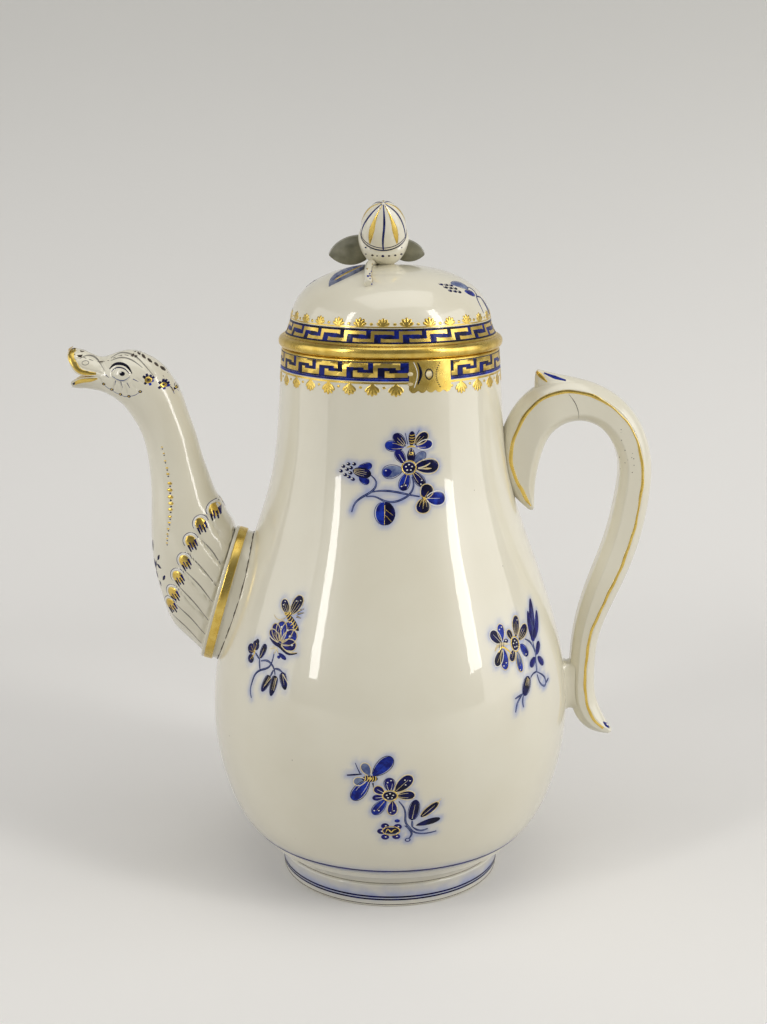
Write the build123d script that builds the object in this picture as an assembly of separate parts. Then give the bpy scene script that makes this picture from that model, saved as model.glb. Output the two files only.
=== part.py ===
from build123d import *
import math
import os

# A porcelain coffee pot: a pear-shaped body on a turned foot, a bird's neck and head for a
# spout, a strap handle with a scrolled top, and a loose domed lid with a rosebud knob.
# Millimetres. +Z is up, the pot's axis is the Z axis, z = 0 is the table that the foot
# stands on, the spout points along -X, the handle along +X, and the bud leans to -Y.

# Sizes of the foot
foot_height = 9.0
foot_base_radius = 39.2
foot_top_radius = 40.4
foot_inner_radius = 34.0
foot_edge_round = 0.8

# Sizes of the body. Its outside runs through a radius at each of these heights.
base_radius = 39.8
belly_radius = 63.75
belly_height = 58.0
mouth_radius = 37.5
mouth_height = 192.0
lower_body = [(42.2, 12.0), (50.5, 19.1), (59.3, 35.0)]
upper_body = [(61.9, 82.0), (52.2, 115.0), (46.1, 132.0), (41.2, 150.0), (38.9, 172.0)]
body_wall = 3.6
floor_thickness = 4.5
floor_corner_radius = 6.0
inside_start_rise = 2.0
mouth_edge_round = 0.7

# Sizes of the spout's collar: an oval band whose plane leans with the body's flank
collar_height = 103.8
collar_lean = 16.1
collar_standoff = 5.5
collar_half_length = 24.7
collar_half_width = 18.6
collar_band_depth = 4.6
collar_base_step = 0.5
strainer_hole_diameter = 5.0
strainer_ring_radius = 8.5
strainer_ring_holes = 6

# The spout's sections: how far each lies outward (-X) and upward from the middle of the
# collar's front, the angle of its long axis above the horizontal, its half length in the
# pot's plane and its half width across the pot
neck_sections = [
    (0.0, 0.0, 73.9, 22.6, 16.6),
    (2.8, 4.3, 68.7, 22.8, 16.3),
    (6.3, 8.7, 63.2, 22.3, 15.8),
    (8.8, 14.9, 57.9, 20.5, 14.8),
    (11.2, 22.0, 52.9, 18.2, 13.5),
    (12.7, 30.5, 47.0, 15.5, 12.1),
    (13.8, 43.7, 36.0, 11.1, 9.9),
    (15.2, 53.6, 25.7, 9.4, 8.8),
    (18.0, 63.0, 22.6, 9.1, 8.6),
    (22.2, 71.3, 23.2, 10.0, 9.2),
]
head_sections = [
    (25.4, 75.3, 41.1, 10.0, 9.3),
    (29.1, 77.8, 52.7, 9.5, 8.9),
    (33.1, 78.9, 65.6, 8.5, 8.0),
    (38.3, 78.3, 84.3, 6.1, 6.3),
    (43.5, 79.6, 90.9, 6.5, 6.0),
    (49.3, 80.3, 93.3, 6.8, 5.6),
    (52.4, 80.2, 94.0, 6.2, 4.0),
]
spout_wall = 2.8
bill_wall = 2.0

# The bill's gape, seen from the side: outward and upward from the collar's middle
gape_corner = (41.0, 77.1)
upper_bill_edge = [(47.4, 78.1), (50.2, 80.0), (51.7, 83.0), (50.6, 87.2)]
lower_bill_edge = [(45.7, 76.1), (48.4, 75.6), (50.3, 74.0), (48.8, 72.6)]
gape_reach = 12.0
pour_slot_width = 8.4
pour_slot_height = 5.0
pour_slot_length = 14.0
pour_slot_rise = 78.0
pour_slot_edge_round = 2.0
pour_slot_overlap = 1.0
feather_section_count = 7
feather_depth = 0.9
feather_tip_line_lean = 62.0
feather_tip_reach = 15.4

# The handle's sections from the scroll's tip over the top to the tail: height above the
# table, distance outward from the body's outside at that height, depth and width of the
# strap, and the way the strap runs there, as an angle above +X
handle_sections = [
    (134.9, 4.6, 2.6, 6.0, 122.0),
    (141.9, 3.7, 9.0, 9.0, 112.0),
    (152.8, 4.5, 14.4, 12.0, 88.0),
    (161.6, 7.5, 15.6, 13.0, 66.0),
    (168.5, 12.5, 16.2, 13.2, 42.0),
    (172.9, 20.5, 16.0, 13.2, 10.0),
    (172.8, 29.2, 13.8, 13.0, -15.0),
    (169.1, 37.1, 12.3, 13.0, -38.0),
    (162.2, 42.6, 11.8, 13.0, -60.0),
    (151.3, 44.9, 11.5, 13.0, -84.0),
    (138.3, 41.3, 11.9, 13.0, -97.0),
    (122.3, 32.6, 12.1, 12.6, -106.0),
    (105.8, 20.8, 11.6, 12.2, -110.0),
    (88.0, 10.1, 9.4, 11.6, -101.0),
    (72.5, 6.4, 9.1, 11.0, -86.0),
    (62.0, 7.0, 9.3, 10.4, -74.0),
    (54.8, 11.6, 7.4, 9.0, -46.0),
    (51.2, 17.0, 2.6, 6.0, -24.0),
]
handle_top = handle_sections[5]
handle_bend_station = 9
handle_crown = 3.3
handle_crown_flat = 0.45
handle_inner_bevel = 2.5
handle_inner_flat = 0.55
lug_height = 68.8
lug_length = 22.0
lug_width = 9.0
lug_bite = 2.0
lug_points = 5

# Sizes of the thumb rest: a leaf tip that stands off the strap's crown and points at the
# lid. Its points are given from the middle of the strap's top: along +X, and upward.
thumb_tip = (-8.9, 10.9)
thumb_back = [(-4.0, 9.9), (4.6, 8.3), (13.4, 5.4)]
thumb_front = (-8.5, 5.7)
thumb_root = (-3.1, 1.0)
thumb_tip_width = 3.6
thumb_root_width = 12.4

# Sizes of the lid
lid_seat_clearance = 0.1
lid_rim_radius = 38.6
lid_rim_height = 4.2
lid_rim_round = 1.9
lid_foot_radius = 36.6
lid_shoulder = [(35.1, 6.9), (34.1, 11.5), (31.1, 17.7), (24.3, 23.2), (12.7, 26.8)]
lid_height = 27.8
lid_wall = 3.0
flange_clearance = 0.8
flange_wall = 2.6
flange_depth = 10.0
flange_edge_round = 0.8

# Sizes of the rosebud knob, which leans from the vertical towards -Y
bud_seat = (-2.4, -1.0)
bud_rise = 9.9
bud_lean = 44.0
bud_length = 15.4
bud_outline = [(7.9, 0.0), (7.75, 4.2), (6.2, 9.2), (3.0, 13.4)]
calyx_radius = 8.6
calyx_lip = 1.2
calyx_depth = 11.2
calyx_points = 6
stem_diameter = 2.6
stem_run = [(-4.8, 3.0), (-6.8, -6.0), (-7.5, -15.0), (-7.2, -25.0)]

# Sizes of the knob's three leaves: one lies on the lid, two stand beside the bud
leaf_thickness = 1.1
front_leaf_base = (-8.6, -6.5)
front_leaf_tip = (-20.5, -17.5)
front_leaf_bow = 3.4
side_leaf_length = 17.5
side_leaf_bow = 5.2
side_leaf_bend = 14.0
side_leaf_drop = 16.0
side_leaf_pitch = 24.0
left_leaf_base = (-4.2, 4.2, 6.4)
right_leaf_base = (-1.2, 4.2, 6.0)
right_leaf_share = 0.76


def side_point(outward, height):
    """A point of the pot's middle plane."""
    return Vector(outward, 0, height)


body_outline = Spline(
    side_point(base_radius, foot_height),
    *[side_point(radius, height) for radius, height in lower_body],
    side_point(belly_radius, belly_height),
    *[side_point(radius, height) for radius, height in upper_body],
    side_point(mouth_radius, mouth_height),
)
seat_height = mouth_height + lid_seat_clearance
lid_outline = Spline(
    side_point(lid_foot_radius, seat_height + lid_rim_height),
    *[side_point(radius, seat_height + rise) for radius, rise in lid_shoulder],
    side_point(0, seat_height + lid_height),
)
flange_radius = mouth_radius - body_wall - flange_clearance
flange_inner_radius = flange_radius - flange_wall


def radius_at(curve, height):
    """How far a climbing curve of the middle plane lies from the pot's axis at a height."""
    low, high = 0.0, 1.0
    for _ in range(40):
        middle = (low + high) / 2
        if (curve @ middle).Z < height:
            low = middle
        else:
            high = middle
    return (curve @ low).X


def body_radius(height):
    """The body's outside radius at a height."""
    return radius_at(body_outline, height)


def inset(curve, depth, start, end, count):
    """Points at one depth inside a curve that climbs, from one share of it to another."""
    points = []
    for step in range(count):
        share = start + (end - start) * step / (count - 1)
        along = curve % share
        inward = Vector(-along.Z, 0, along.X)
        points.append((curve @ share) + inward * depth)
    return points


def turned(edges):
    """The solid that a closed outline in the middle plane sweeps around the pot's axis.
    It is turned so that its seam lies behind the pot, clear of the spout and the handle."""
    return Rot(0, 0, 90) * revolve(Face(Wire(edges)), axis=Axis.Z)


def line_through(*points):
    """Straight edges from point to point."""
    return [Edge.make_line(a, b) for a, b in zip(points, points[1:])]


def solid_body():
    """The body with no hollow, for cutting whatever is luted on to it."""
    foot_corner = side_point(0, foot_height)
    mouth_corner = side_point(0, mouth_height)
    start = body_outline @ 0
    end = body_outline @ 1
    return turned([body_outline, *line_through(end, mouth_corner, foot_corner, start)])


def collar_plane(depth=0.0):
    """The collar's front face, or a plane that many millimetres nearer the pot's axis.
    Its Z points out along the spout and its X up the collar."""
    lean = math.radians(collar_lean)
    outward = Vector(-math.cos(lean), 0, math.sin(lean))
    upward = Vector(math.sin(lean), 0, math.cos(lean))
    middle = side_point(-(body_radius(collar_height) + collar_standoff), collar_height)
    return Plane(origin=middle - outward * depth, x_dir=upward, z_dir=outward)


def strainer():
    """The ring of holes pierced through the body's wall behind the spout."""
    reach = collar_standoff + 4 * body_wall
    drill = Cylinder(strainer_hole_diameter / 2, 2 * reach)
    places = [(0, 0)]
    for hole in range(strainer_ring_holes):
        turn = 2 * math.pi * hole / strainer_ring_holes
        places.append((strainer_ring_radius * math.cos(turn), strainer_ring_radius * math.sin(turn)))
    return Compound([collar_plane() * (Pos(x, y) * drill) for x, y in places])


def pot_body(blank):
    """The thrown vessel: one wall from the floor to the mouth, pierced behind the spout."""
    floor = foot_height + floor_thickness
    walls = [p for p in inset(body_outline, body_wall, 0.0, 1.0, 14) if p.Z > floor + inside_start_rise]
    walls[-1] = side_point(mouth_radius - body_wall, mouth_height)
    corner = side_point(walls[0].X - floor_corner_radius, floor)
    inside = Spline(corner, *walls)
    above = side_point(0, mouth_height)
    below = side_point(0, floor)
    vessel = blank - turned([inside, *line_through(inside @ 1, above, below, corner)])
    rim = vessel.edges().filter_by(GeomType.CIRCLE).group_by(Axis.Z)[-1]
    vessel = fillet(rim, mouth_edge_round)
    return vessel - strainer()


def foot_ring():
    """The turned foot: a ring that carries the body and keeps its base off the table."""
    outline = line_through(
        side_point(foot_inner_radius, 0),
        side_point(foot_base_radius, 0),
        side_point(foot_top_radius, foot_height),
        side_point(foot_inner_radius, foot_height),
        side_point(foot_inner_radius, 0),
    )
    ring = turned(outline)
    return fillet(ring.edges().group_by(Axis.Z)[0], foot_edge_round)


def oval(half_length, half_width, depth=0.0):
    """An oval in the collar's plane."""
    return collar_plane(depth) * Ellipse(half_length, half_width)


def section_plane(section):
    """The plane of one section of the spout."""
    outward, upward, angle = section[:3]
    middle = collar_plane().origin + Vector(-outward, 0, upward)
    turn = math.radians(angle)
    along = Vector(math.cos(turn), 0, math.sin(turn))
    ahead = Vector(-math.sin(turn), 0, math.cos(turn))
    return Plane(origin=middle, x_dir=along, z_dir=ahead)


def spout_loft(sections, swell=0.0):
    """A smooth solid through oval sections, each made that much wider all round."""
    faces = []
    for section in sections:
        half_length, half_width = section[3:]
        faces.append(section_plane(section) * Ellipse(half_length + swell, half_width + swell))
    return loft(faces)


def gape():
    """The open mouth between the two halves of the bill, as seen from the side."""
    middle = collar_plane().origin

    def place(point):
        return middle + Vector(-point[0], 0, point[1])

    corner = place(gape_corner)
    upper = Spline([corner, *[place(p) for p in upper_bill_edge]])
    lower = Spline([corner, *[place(p) for p in lower_bill_edge]])
    ahead = Vector(-gape_reach, 0, 0)
    front = line_through(upper @ 1, (upper @ 1) + ahead, (lower @ 1) + ahead, lower @ 1)
    mouth = Face(Wire([upper, *front, lower]))
    return extrude(mouth, amount=gape_reach * 2, dir=(0, 1, 0), both=True)


def bore():
    """The way the coffee takes from the body to the bill."""
    faces = []
    for section in [*neck_sections, *head_sections[:5]]:
        wall = bill_wall if section in head_sections[3:] else spout_wall
        half_length, half_width = section[3:]
        faces.append(section_plane(section) * Ellipse(half_length - wall, half_width - wall))
    return loft(faces)


def pour_slot():
    """The slot at the front of the bill that the bore opens into."""
    middle = collar_plane().origin
    bill_root = head_sections[4][0]
    outward = bill_root + pour_slot_length / 2 - pour_slot_overlap
    slot = Box(pour_slot_length, pour_slot_width, pour_slot_height)
    slot = fillet(slot.edges().filter_by(Axis.X), pour_slot_edge_round)
    return Pos(middle.X - outward, 0, middle.Z + pour_slot_rise) * slot


def spout():
    """The neck and the head: one hollow casting, parted at the nape."""
    outside = spout_loft(neck_sections + head_sections)
    casting = outside - bore() - pour_slot() - gape()
    nape = section_plane(neck_sections[-1])
    head = split(casting, bisect_by=nape, keep=Keep.TOP)
    neck = split(casting, bisect_by=nape, keep=Keep.BOTTOM)
    return neck, head


def feather_sleeve(neck_blank):
    """The raised wing feathers round the root of the neck, behind a slanting line of tips."""
    swollen = spout_loft(neck_sections[:feather_section_count], feather_depth)
    middle = collar_plane().origin + Vector(-feather_tip_reach, 0, feather_tip_reach)
    turn = math.radians(feather_tip_line_lean)
    ahead = Vector(-math.sin(turn), 0, math.cos(turn))
    tips = Plane(origin=middle, x_dir=(math.cos(turn), 0, math.sin(turn)), z_dir=ahead)
    return split(swollen, bisect_by=tips, keep=Keep.BOTTOM) - neck_blank


def spout_collar(blank):
    """The oval band that the spout is luted to, fitted to the body's round flank."""
    reach = 2 * collar_half_width
    base_length = collar_half_length - collar_base_step
    base_width = collar_half_width - collar_base_step
    band = extrude(oval(collar_half_length, collar_half_width), amount=-collar_band_depth)
    base = extrude(oval(base_length, base_width, collar_band_depth), amount=-reach)
    root = neck_sections[0]
    way = extrude(oval(root[3] - spout_wall, root[4] - spout_wall), amount=-2 * reach)
    return band + base - way - blank


def strap_section(depth, width):
    """The strap's outline across its run: a crowned back, flat flanks and a bevelled front.
    X points to the outside of the bend."""
    crown = min(handle_crown, depth * 0.35)
    bevel = min(handle_inner_bevel, depth * 0.28)
    half = width / 2
    back = depth / 2
    corners = [
        (back, handle_crown_flat * half),
        (back - crown * 0.35, half * 0.82),
        (back - crown, half),
        (bevel - back, half),
        (-back, handle_inner_flat * half),
    ]
    mirrored = [(x, -y) for x, y in reversed(corners)]
    return Polyline([*corners, *mirrored], close=True)


def handle_plane(section):
    """Where a section of the strap lies. Its Z runs along the strap."""
    height, outward, _, _, angle = section
    turn = math.radians(angle)
    ahead = Vector(math.cos(turn), 0, math.sin(turn))
    outside = Vector(-math.sin(turn), 0, math.cos(turn))
    middle = side_point(body_radius(height) + outward, height)
    return Plane(origin=middle, x_dir=outside, z_dir=ahead)


def handle_blank():
    """The strap before it is fitted to the body."""
    faces = []
    for section in handle_sections:
        outline = strap_section(section[2], section[3])
        faces.append(handle_plane(section) * make_face(outline))
    return loft(faces)


def handle_lug(blank, strap):
    """The pad of clay between the body and the foot of the strap: it starts inside the body's
    outside and ends at the middle of the strap, and what they hold is cut from it."""
    foot_sections = handle_sections[handle_bend_station:]
    strap_line = Spline(*[handle_plane(section).origin for section in reversed(foot_sections)])
    inner = []
    outer = []
    for step in range(lug_points):
        height = lug_height + lug_length * (step / (lug_points - 1) - 0.5)
        inner.append(side_point(body_radius(height) - lug_bite, height))
        outer.append(side_point(radius_at(strap_line, height), height))
    side = Face(Wire(line_through(*inner, *reversed(outer), inner[0])))
    pad = extrude(side, lug_width / 2, dir=(0, 1, 0), both=True)
    return pad - blank - strap


def thumb_rest(strap):
    """A leaf tip on the strap's crown that the thumb presses on."""
    top = handle_plane(handle_top).origin

    def place(point):
        return top + Vector(point[0], 0, point[1])

    back = Spline(place(thumb_tip), *[place(p) for p in thumb_back])
    under = line_through(back @ 1, place(thumb_root), place(thumb_front), place(thumb_tip))
    side = extrude(Face(Wire([back, *under])), thumb_root_width, dir=(0, 1, 0), both=True)
    root = place(thumb_back[-1])
    tip = place(thumb_tip)
    half_tip = thumb_tip_width / 2
    half_root = thumb_root_width / 2
    plan = Polyline(
        (tip.X - half_tip, -half_tip),
        (tip.X - half_tip, half_tip),
        (root.X, half_root),
        (root.X, -half_root),
        close=True,
    )
    wedge = extrude(make_face(plan), 2 * top.Z)
    return (side & wedge) - strap


def lid_blank():
    """The lid's dome with no hollow, for seating the knob on it."""
    foot = side_point(0, seat_height + lid_rim_height)
    return turned([lid_outline, *line_through(lid_outline @ 1, foot, lid_outline @ 0)])


def lid_dome(blank):
    """The thrown dome of the lid, of one wall."""
    foot = seat_height + lid_rim_height
    walls = [p for p in inset(lid_outline, lid_wall, 0.1, 0.94, 9) if p.Z > foot + inside_start_rise]
    top = side_point(0, seat_height + lid_height - lid_wall)
    inside = Spline(side_point(flange_inner_radius, foot), *walls, top)
    return blank - turned([inside, *line_through(top, side_point(0, foot), inside @ 0)])


def lid_rim():
    """The half-round rim that rests on the pot's mouth."""
    outline = line_through(
        side_point(flange_inner_radius, seat_height),
        side_point(lid_rim_radius, seat_height),
        side_point(lid_rim_radius, seat_height + lid_rim_height),
        side_point(flange_inner_radius, seat_height + lid_rim_height),
        side_point(flange_inner_radius, seat_height),
    )
    ring = turned(outline)
    edges = ring.edges().filter_by(GeomType.CIRCLE).sort_by(lambda edge: edge.radius)[-2:]
    return fillet(edges, lid_rim_round)


def lid_flange():
    """The ring under the lid that keeps it centred in the mouth."""
    ring = Cylinder(flange_radius, flange_depth) - Cylinder(flange_inner_radius, flange_depth)
    ring = Pos(0, 0, seat_height - flange_depth / 2) * ring
    return fillet(ring.edges().group_by(Axis.Z)[0], flange_edge_round)


def bud_plane():
    """The flat between the bud and its calyx. Its Z points to the bud's tip."""
    x, y = bud_seat
    lean = math.radians(bud_lean)
    middle = Vector(x, y, seat_height + lid_height + bud_rise)
    return Plane(origin=middle, x_dir=(1, 0, 0), z_dir=(0, -math.sin(lean), math.cos(lean)))


def on_lid(x, y, lift=0.0):
    """A point on the outside of the lid's dome, or that far above it."""
    radius = math.hypot(x, y)
    low, high = 0.0, 1.0
    for _ in range(40):
        middle = (low + high) / 2
        if (lid_outline @ middle).X > radius:
            low = middle
        else:
            high = middle
    return Vector(x, y, (lid_outline @ low).Z + lift)


def finial_bud():
    """The closed petals of the rosebud."""
    tip = side_point(0, bud_length)
    petals = Spline(*[side_point(radius, rise) for radius, rise in bud_outline], tip)
    centre = side_point(0, 0)
    return bud_plane() * turned([petals, *line_through(tip, centre, petals @ 0)])


def finial_calyx(dome):
    """The cup under the bud, seated on the lid."""
    lip = side_point(bud_outline[0][0], 0)
    cup = []
    for step in range(calyx_points):
        turn = math.pi / 2 * step / (calyx_points - 1)
        depth = calyx_lip + calyx_depth * math.sin(turn)
        cup.append(side_point(calyx_radius * math.cos(turn), -depth))
    lower = Spline(*cup)
    centre = side_point(0, 0)
    outline = [*line_through(cup[-1], centre, lip, cup[0]), lower]
    return bud_plane() * turned(outline) - dome


def finial_stem(dome, calyx):
    """The cut stem, which lies on the lid in front of the bud."""
    radius = stem_diameter / 2
    run = Spline(*[on_lid(x, y, 0.75 * radius) for x, y in stem_run])
    start = Plane(origin=run @ 0, z_dir=run % 0)
    return sweep(start * Circle(radius), path=run) - dome - calyx


def leaf_outline(base, tip, bow):
    """A pointed leaf between two points of a plane."""
    middle = (base + tip) / 2
    along = (tip - base).normalized()
    aside = Vector(-along.Y, along.X, 0) * bow
    return make_face([ThreePointArc(base, middle + aside, tip), ThreePointArc(tip, middle - aside, base)])


def finial_leaf_front(dome, calyx, stem):
    """The leaf that lies on the lid."""
    base = Vector(*front_leaf_base, 0)
    tip = Vector(*front_leaf_tip, 0)
    blade = extrude(leaf_outline(base, tip, front_leaf_bow), seat_height + 2 * lid_height)
    cover = Pos(0, 0, leaf_thickness) * dome
    return (blade & cover) - dome - calyx - stem


def side_leaf(base, side, share, dome, calyx):
    """A leaf that stands beside the bud, bent over towards its tip."""
    x, y, rise = base
    drop = math.radians(side_leaf_drop)
    pitch = math.radians(side_leaf_pitch)
    along = Vector(side * math.cos(drop), 0, -math.sin(drop))
    facing = Vector(0, -math.cos(pitch), -math.sin(pitch))
    facing = (facing - along * facing.dot(along)).normalized()
    start = Vector(x, y, seat_height + lid_height + rise)
    frame = Plane(origin=start, x_dir=along, z_dir=facing)
    length = side_leaf_length * share
    flat = leaf_outline(Vector(0, 0, 0), Vector(length, 0, 0), side_leaf_bow * share)
    blade = extrude(flat, side_leaf_bend, both=True)
    outer = Pos(length / 2, 0, -side_leaf_bend) * Sphere(side_leaf_bend + leaf_thickness / 2)
    inner = Pos(length / 2, 0, -side_leaf_bend) * Sphere(side_leaf_bend - leaf_thickness / 2)
    front = Pos(length / 2, 0, side_leaf_bend / 2) * Box(4 * length, 4 * length, 3 * side_leaf_bend)
    return frame * (blade & (outer - inner) & front) - dome - calyx


def main():
    os.makedirs("parts", exist_ok=True)
    blank = solid_body()
    neck, head = spout()
    strap = handle_blank()
    dome = lid_blank()
    calyx = finial_calyx(dome)
    stem = finial_stem(dome, calyx)
    pieces = {
        "pot_body": pot_body(blank),
        "foot_ring": foot_ring(),
        "spout_neck": neck,
        "bird_head": head,
        "spout_collar": spout_collar(blank),
        "feather_sleeve": feather_sleeve(spout_loft(neck_sections + head_sections)),
        "handle": strap - blank,
        "handle_lug": handle_lug(blank, strap),
        "thumb_rest": thumb_rest(strap),
        "lid_dome": lid_dome(dome),
        "lid_rim": lid_rim(),
        "lid_flange": lid_flange(),
        "finial_bud": finial_bud(),
        "finial_calyx": calyx,
        "finial_stem": stem,
        "finial_leaf_front": finial_leaf_front(dome, calyx, stem),
        "finial_leaf_left": side_leaf(left_leaf_base, -1, 1.0, dome, calyx),
        "finial_leaf_right": side_leaf(right_leaf_base, 1, right_leaf_share, dome, calyx),
    }
    for name, shape in pieces.items():
        export_step(shape, f"parts/{name}.step")


main()
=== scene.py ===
import math
import random
from functools import partial

import bmesh
import bpy
import numpy as np
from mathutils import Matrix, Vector
from mathutils.bvhtree import BVHTree
from mathutils.kdtree import KDTree


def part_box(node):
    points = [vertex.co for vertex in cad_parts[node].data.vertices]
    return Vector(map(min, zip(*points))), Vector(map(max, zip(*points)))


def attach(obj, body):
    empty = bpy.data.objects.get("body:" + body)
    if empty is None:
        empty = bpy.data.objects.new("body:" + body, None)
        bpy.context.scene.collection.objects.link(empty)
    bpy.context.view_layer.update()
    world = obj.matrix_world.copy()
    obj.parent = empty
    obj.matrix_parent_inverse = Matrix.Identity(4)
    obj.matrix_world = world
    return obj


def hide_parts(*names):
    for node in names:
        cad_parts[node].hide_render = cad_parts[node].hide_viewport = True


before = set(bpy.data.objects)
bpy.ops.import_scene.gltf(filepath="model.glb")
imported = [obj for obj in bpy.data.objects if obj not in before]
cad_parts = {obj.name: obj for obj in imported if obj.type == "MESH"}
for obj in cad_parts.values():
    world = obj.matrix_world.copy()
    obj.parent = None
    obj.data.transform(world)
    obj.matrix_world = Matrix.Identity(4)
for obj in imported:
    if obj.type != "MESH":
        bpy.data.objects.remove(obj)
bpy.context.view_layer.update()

# The looks of a porcelain coffee pot. Every size here is in millimetres, in the frame of the
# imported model: +Z is up, the pot's axis is the Z axis, the spout points along -X, the handle
# along +X, and the viewer stands on the -Y side. Angles round the pot start there and grow to
# the right.
MM = 0.001
full_turn = 2 * math.pi
rng = random.Random(5)

# Sizes of the body and the foot, as radius and height
body_stations = [
    (39.8, 9.0), (42.2, 12.0), (50.5, 19.1), (59.3, 35.0), (63.64, 58.0), (61.9, 82.0),
    (52.2, 115.0), (46.1, 132.0), (41.2, 150.0), (38.9, 172.0), (37.5, 192.0),
]
body_wall = 3.6
lip_round = 0.7
floor_height = 13.5
floor_corner = 6.0
foot_height = 9.0
foot_base_radius = 39.2
foot_top_radius = 40.4
foot_inner_radius = 34.0
mouth_radius = 37.5
mouth_height = 192.0
strainer_hole_radius = 2.5
strainer_ring_radius = 8.5

# Sizes of the lid
seat_height = 192.1
rim_radius = 38.6
rim_height = 4.2
rim_round = 2.0
lid_foot_radius = 36.6
lid_shoulder = [(35.1, 6.9), (34.1, 11.5), (31.1, 17.7), (24.3, 23.2), (12.7, 26.8)]
lid_height = 27.8
lid_wall = 3.0
flange_radius = 33.1
flange_inner_radius = 30.5
flange_depth = 10.0

# Sizes of the spout's collar and of the spout's sections
collar_height = 103.8
collar_lean = 16.1
collar_standoff = 5.5
collar_half_length = 24.7
collar_half_width = 18.6
collar_band_depth = 4.6
collar_bite = 1.0
spout_sections = [
    (0.0, 0.0, 73.9, 22.6, 16.6), (2.8, 4.3, 68.7, 22.8, 16.3), (6.3, 8.7, 63.2, 22.3, 15.8),
    (8.8, 14.9, 57.9, 20.5, 14.8), (11.2, 22.0, 52.9, 18.2, 13.5), (12.7, 30.5, 47.0, 15.5, 12.1),
    (13.8, 43.7, 36.0, 11.1, 9.9), (15.2, 53.6, 25.7, 9.4, 8.8), (18.0, 63.0, 22.6, 9.1, 8.6),
    (22.2, 71.3, 23.2, 10.0, 9.2), (25.4, 75.3, 41.1, 10.0, 9.3), (29.1, 77.8, 52.7, 9.5, 8.9),
    (33.1, 78.9, 65.6, 8.5, 8.0), (38.3, 78.3, 84.3, 6.1, 6.3), (43.5, 79.6, 90.9, 6.5, 6.0),
    (49.3, 80.3, 93.3, 6.8, 5.6), (51.6, 80.2, 94.0, 6.3, 4.3),
]

# Sizes of the handle's sections: height, distance outward from the body, depth, width, and
# the way the strap runs
handle_sections = [
    (134.9, 4.6, 2.6, 6.0, 122.0), (141.9, 3.7, 9.0, 9.0, 112.0), (152.8, 4.5, 14.4, 12.0, 88.0),
    (161.6, 7.5, 15.6, 13.0, 66.0), (168.5, 12.5, 16.2, 13.2, 42.0), (172.9, 20.5, 16.0, 13.2, 10.0),
    (172.8, 29.2, 13.8, 13.0, -15.0), (169.1, 37.1, 12.3, 13.0, -38.0),
    (162.2, 42.6, 11.8, 13.0, -60.0), (151.3, 44.9, 11.5, 13.0, -84.0),
    (138.3, 41.3, 11.9, 13.0, -97.0), (122.3, 32.6, 12.1, 12.6, -106.0),
    (105.8, 20.8, 11.6, 12.2, -110.0), (88.0, 10.1, 9.4, 11.6, -101.0),
    (72.5, 6.4, 9.1, 11.0, -86.0), (62.0, 7.0, 9.3, 10.4, -74.0), (54.8, 11.6, 7.4, 9.0, -46.0),
    (51.2, 17.0, 2.6, 6.0, -24.0),
]
handle_crown = 3.3
handle_bevel = 2.5
handle_inner_flat = 0.55
lug_height = 68.8
lug_half_length = 8.8
lug_half_width = 4.9

# Sizes of the knob: the seat of the bud, how it leans to the viewer, and its outline
bud_seat = (-2.4, -1.0, 229.8)
bud_lean = 44.0
bud_outline = [(7.8, 0.0), (7.63, 4.2), (6.08, 9.2), (2.95, 13.3), (0.0, 15.3)]
calyx_radius = 8.6
calyx_lip = 1.2
calyx_depth = 11.2

# The painted bands: where the gilded panel is, and how the keys and the palmettes are counted
panel_start = 10.7
panel_end = 30.6
pot_key_start = 34.2
pot_key_pitch = 15.92
pot_key_count = 21
pot_fan_start = -8.9
pot_fan_count = 31
lid_key_start = -9.5
lid_key_count = 24
lid_fan_start = -4.0
lid_fan_count = 28


def smooth_curve(points, dims=None):
    """A natural cubic curve through points, as a function of shares of its length. Only the
    first dims numbers of each point count towards the length."""
    p = np.array(points, float)
    last = len(p) - 1
    gaps = np.linalg.norm(np.diff(p[:, :dims], axis=0), axis=1)
    knots = np.concatenate([[0.0], np.cumsum(gaps)])
    system = np.eye(last + 1)
    bends = np.zeros_like(p)
    for i in range(1, last):
        system[i, i - 1:i + 2] = gaps[i - 1], 2 * (gaps[i - 1] + gaps[i]), gaps[i]
        bends[i] = 6 * ((p[i + 1] - p[i]) / gaps[i] - (p[i] - p[i - 1]) / gaps[i - 1])
    bends = np.linalg.solve(system, bends)

    def at(shares):
        x = np.clip(np.asarray(shares, float), 0, 1) * knots[-1]
        i = np.clip(np.searchsorted(knots, x, side="right") - 1, 0, last - 1)
        gap = gaps[i][:, None]
        b = (x - knots[i])[:, None] / gap
        a = 1 - b
        curve = a * p[i] + b * p[i + 1]
        return curve + ((a**3 - a) * bends[i] + (b**3 - b) * bends[i + 1]) * gap**2 / 6

    return at


def sampled(points, count, dims=None):
    """That many points along the smooth curve through points."""
    return smooth_curve(points, dims)(np.linspace(0, 1, count))


def turns_round(count):
    """That many angles, evenly spaced round a full turn."""
    return np.linspace(0, full_turn, count, endpoint=False)


def arc(centre, radius, start, end, count):
    """Points of a plane arc, from one angle in degrees to another."""
    turns = np.radians(np.linspace(start, end, count))
    return [(centre[0] + radius * math.cos(t), centre[1] + radius * math.sin(t)) for t in turns]


def smoothstep(low, high, x):
    t = np.clip((x - low) / (high - low), 0, 1)
    return t * t * (3 - 2 * t)


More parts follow.
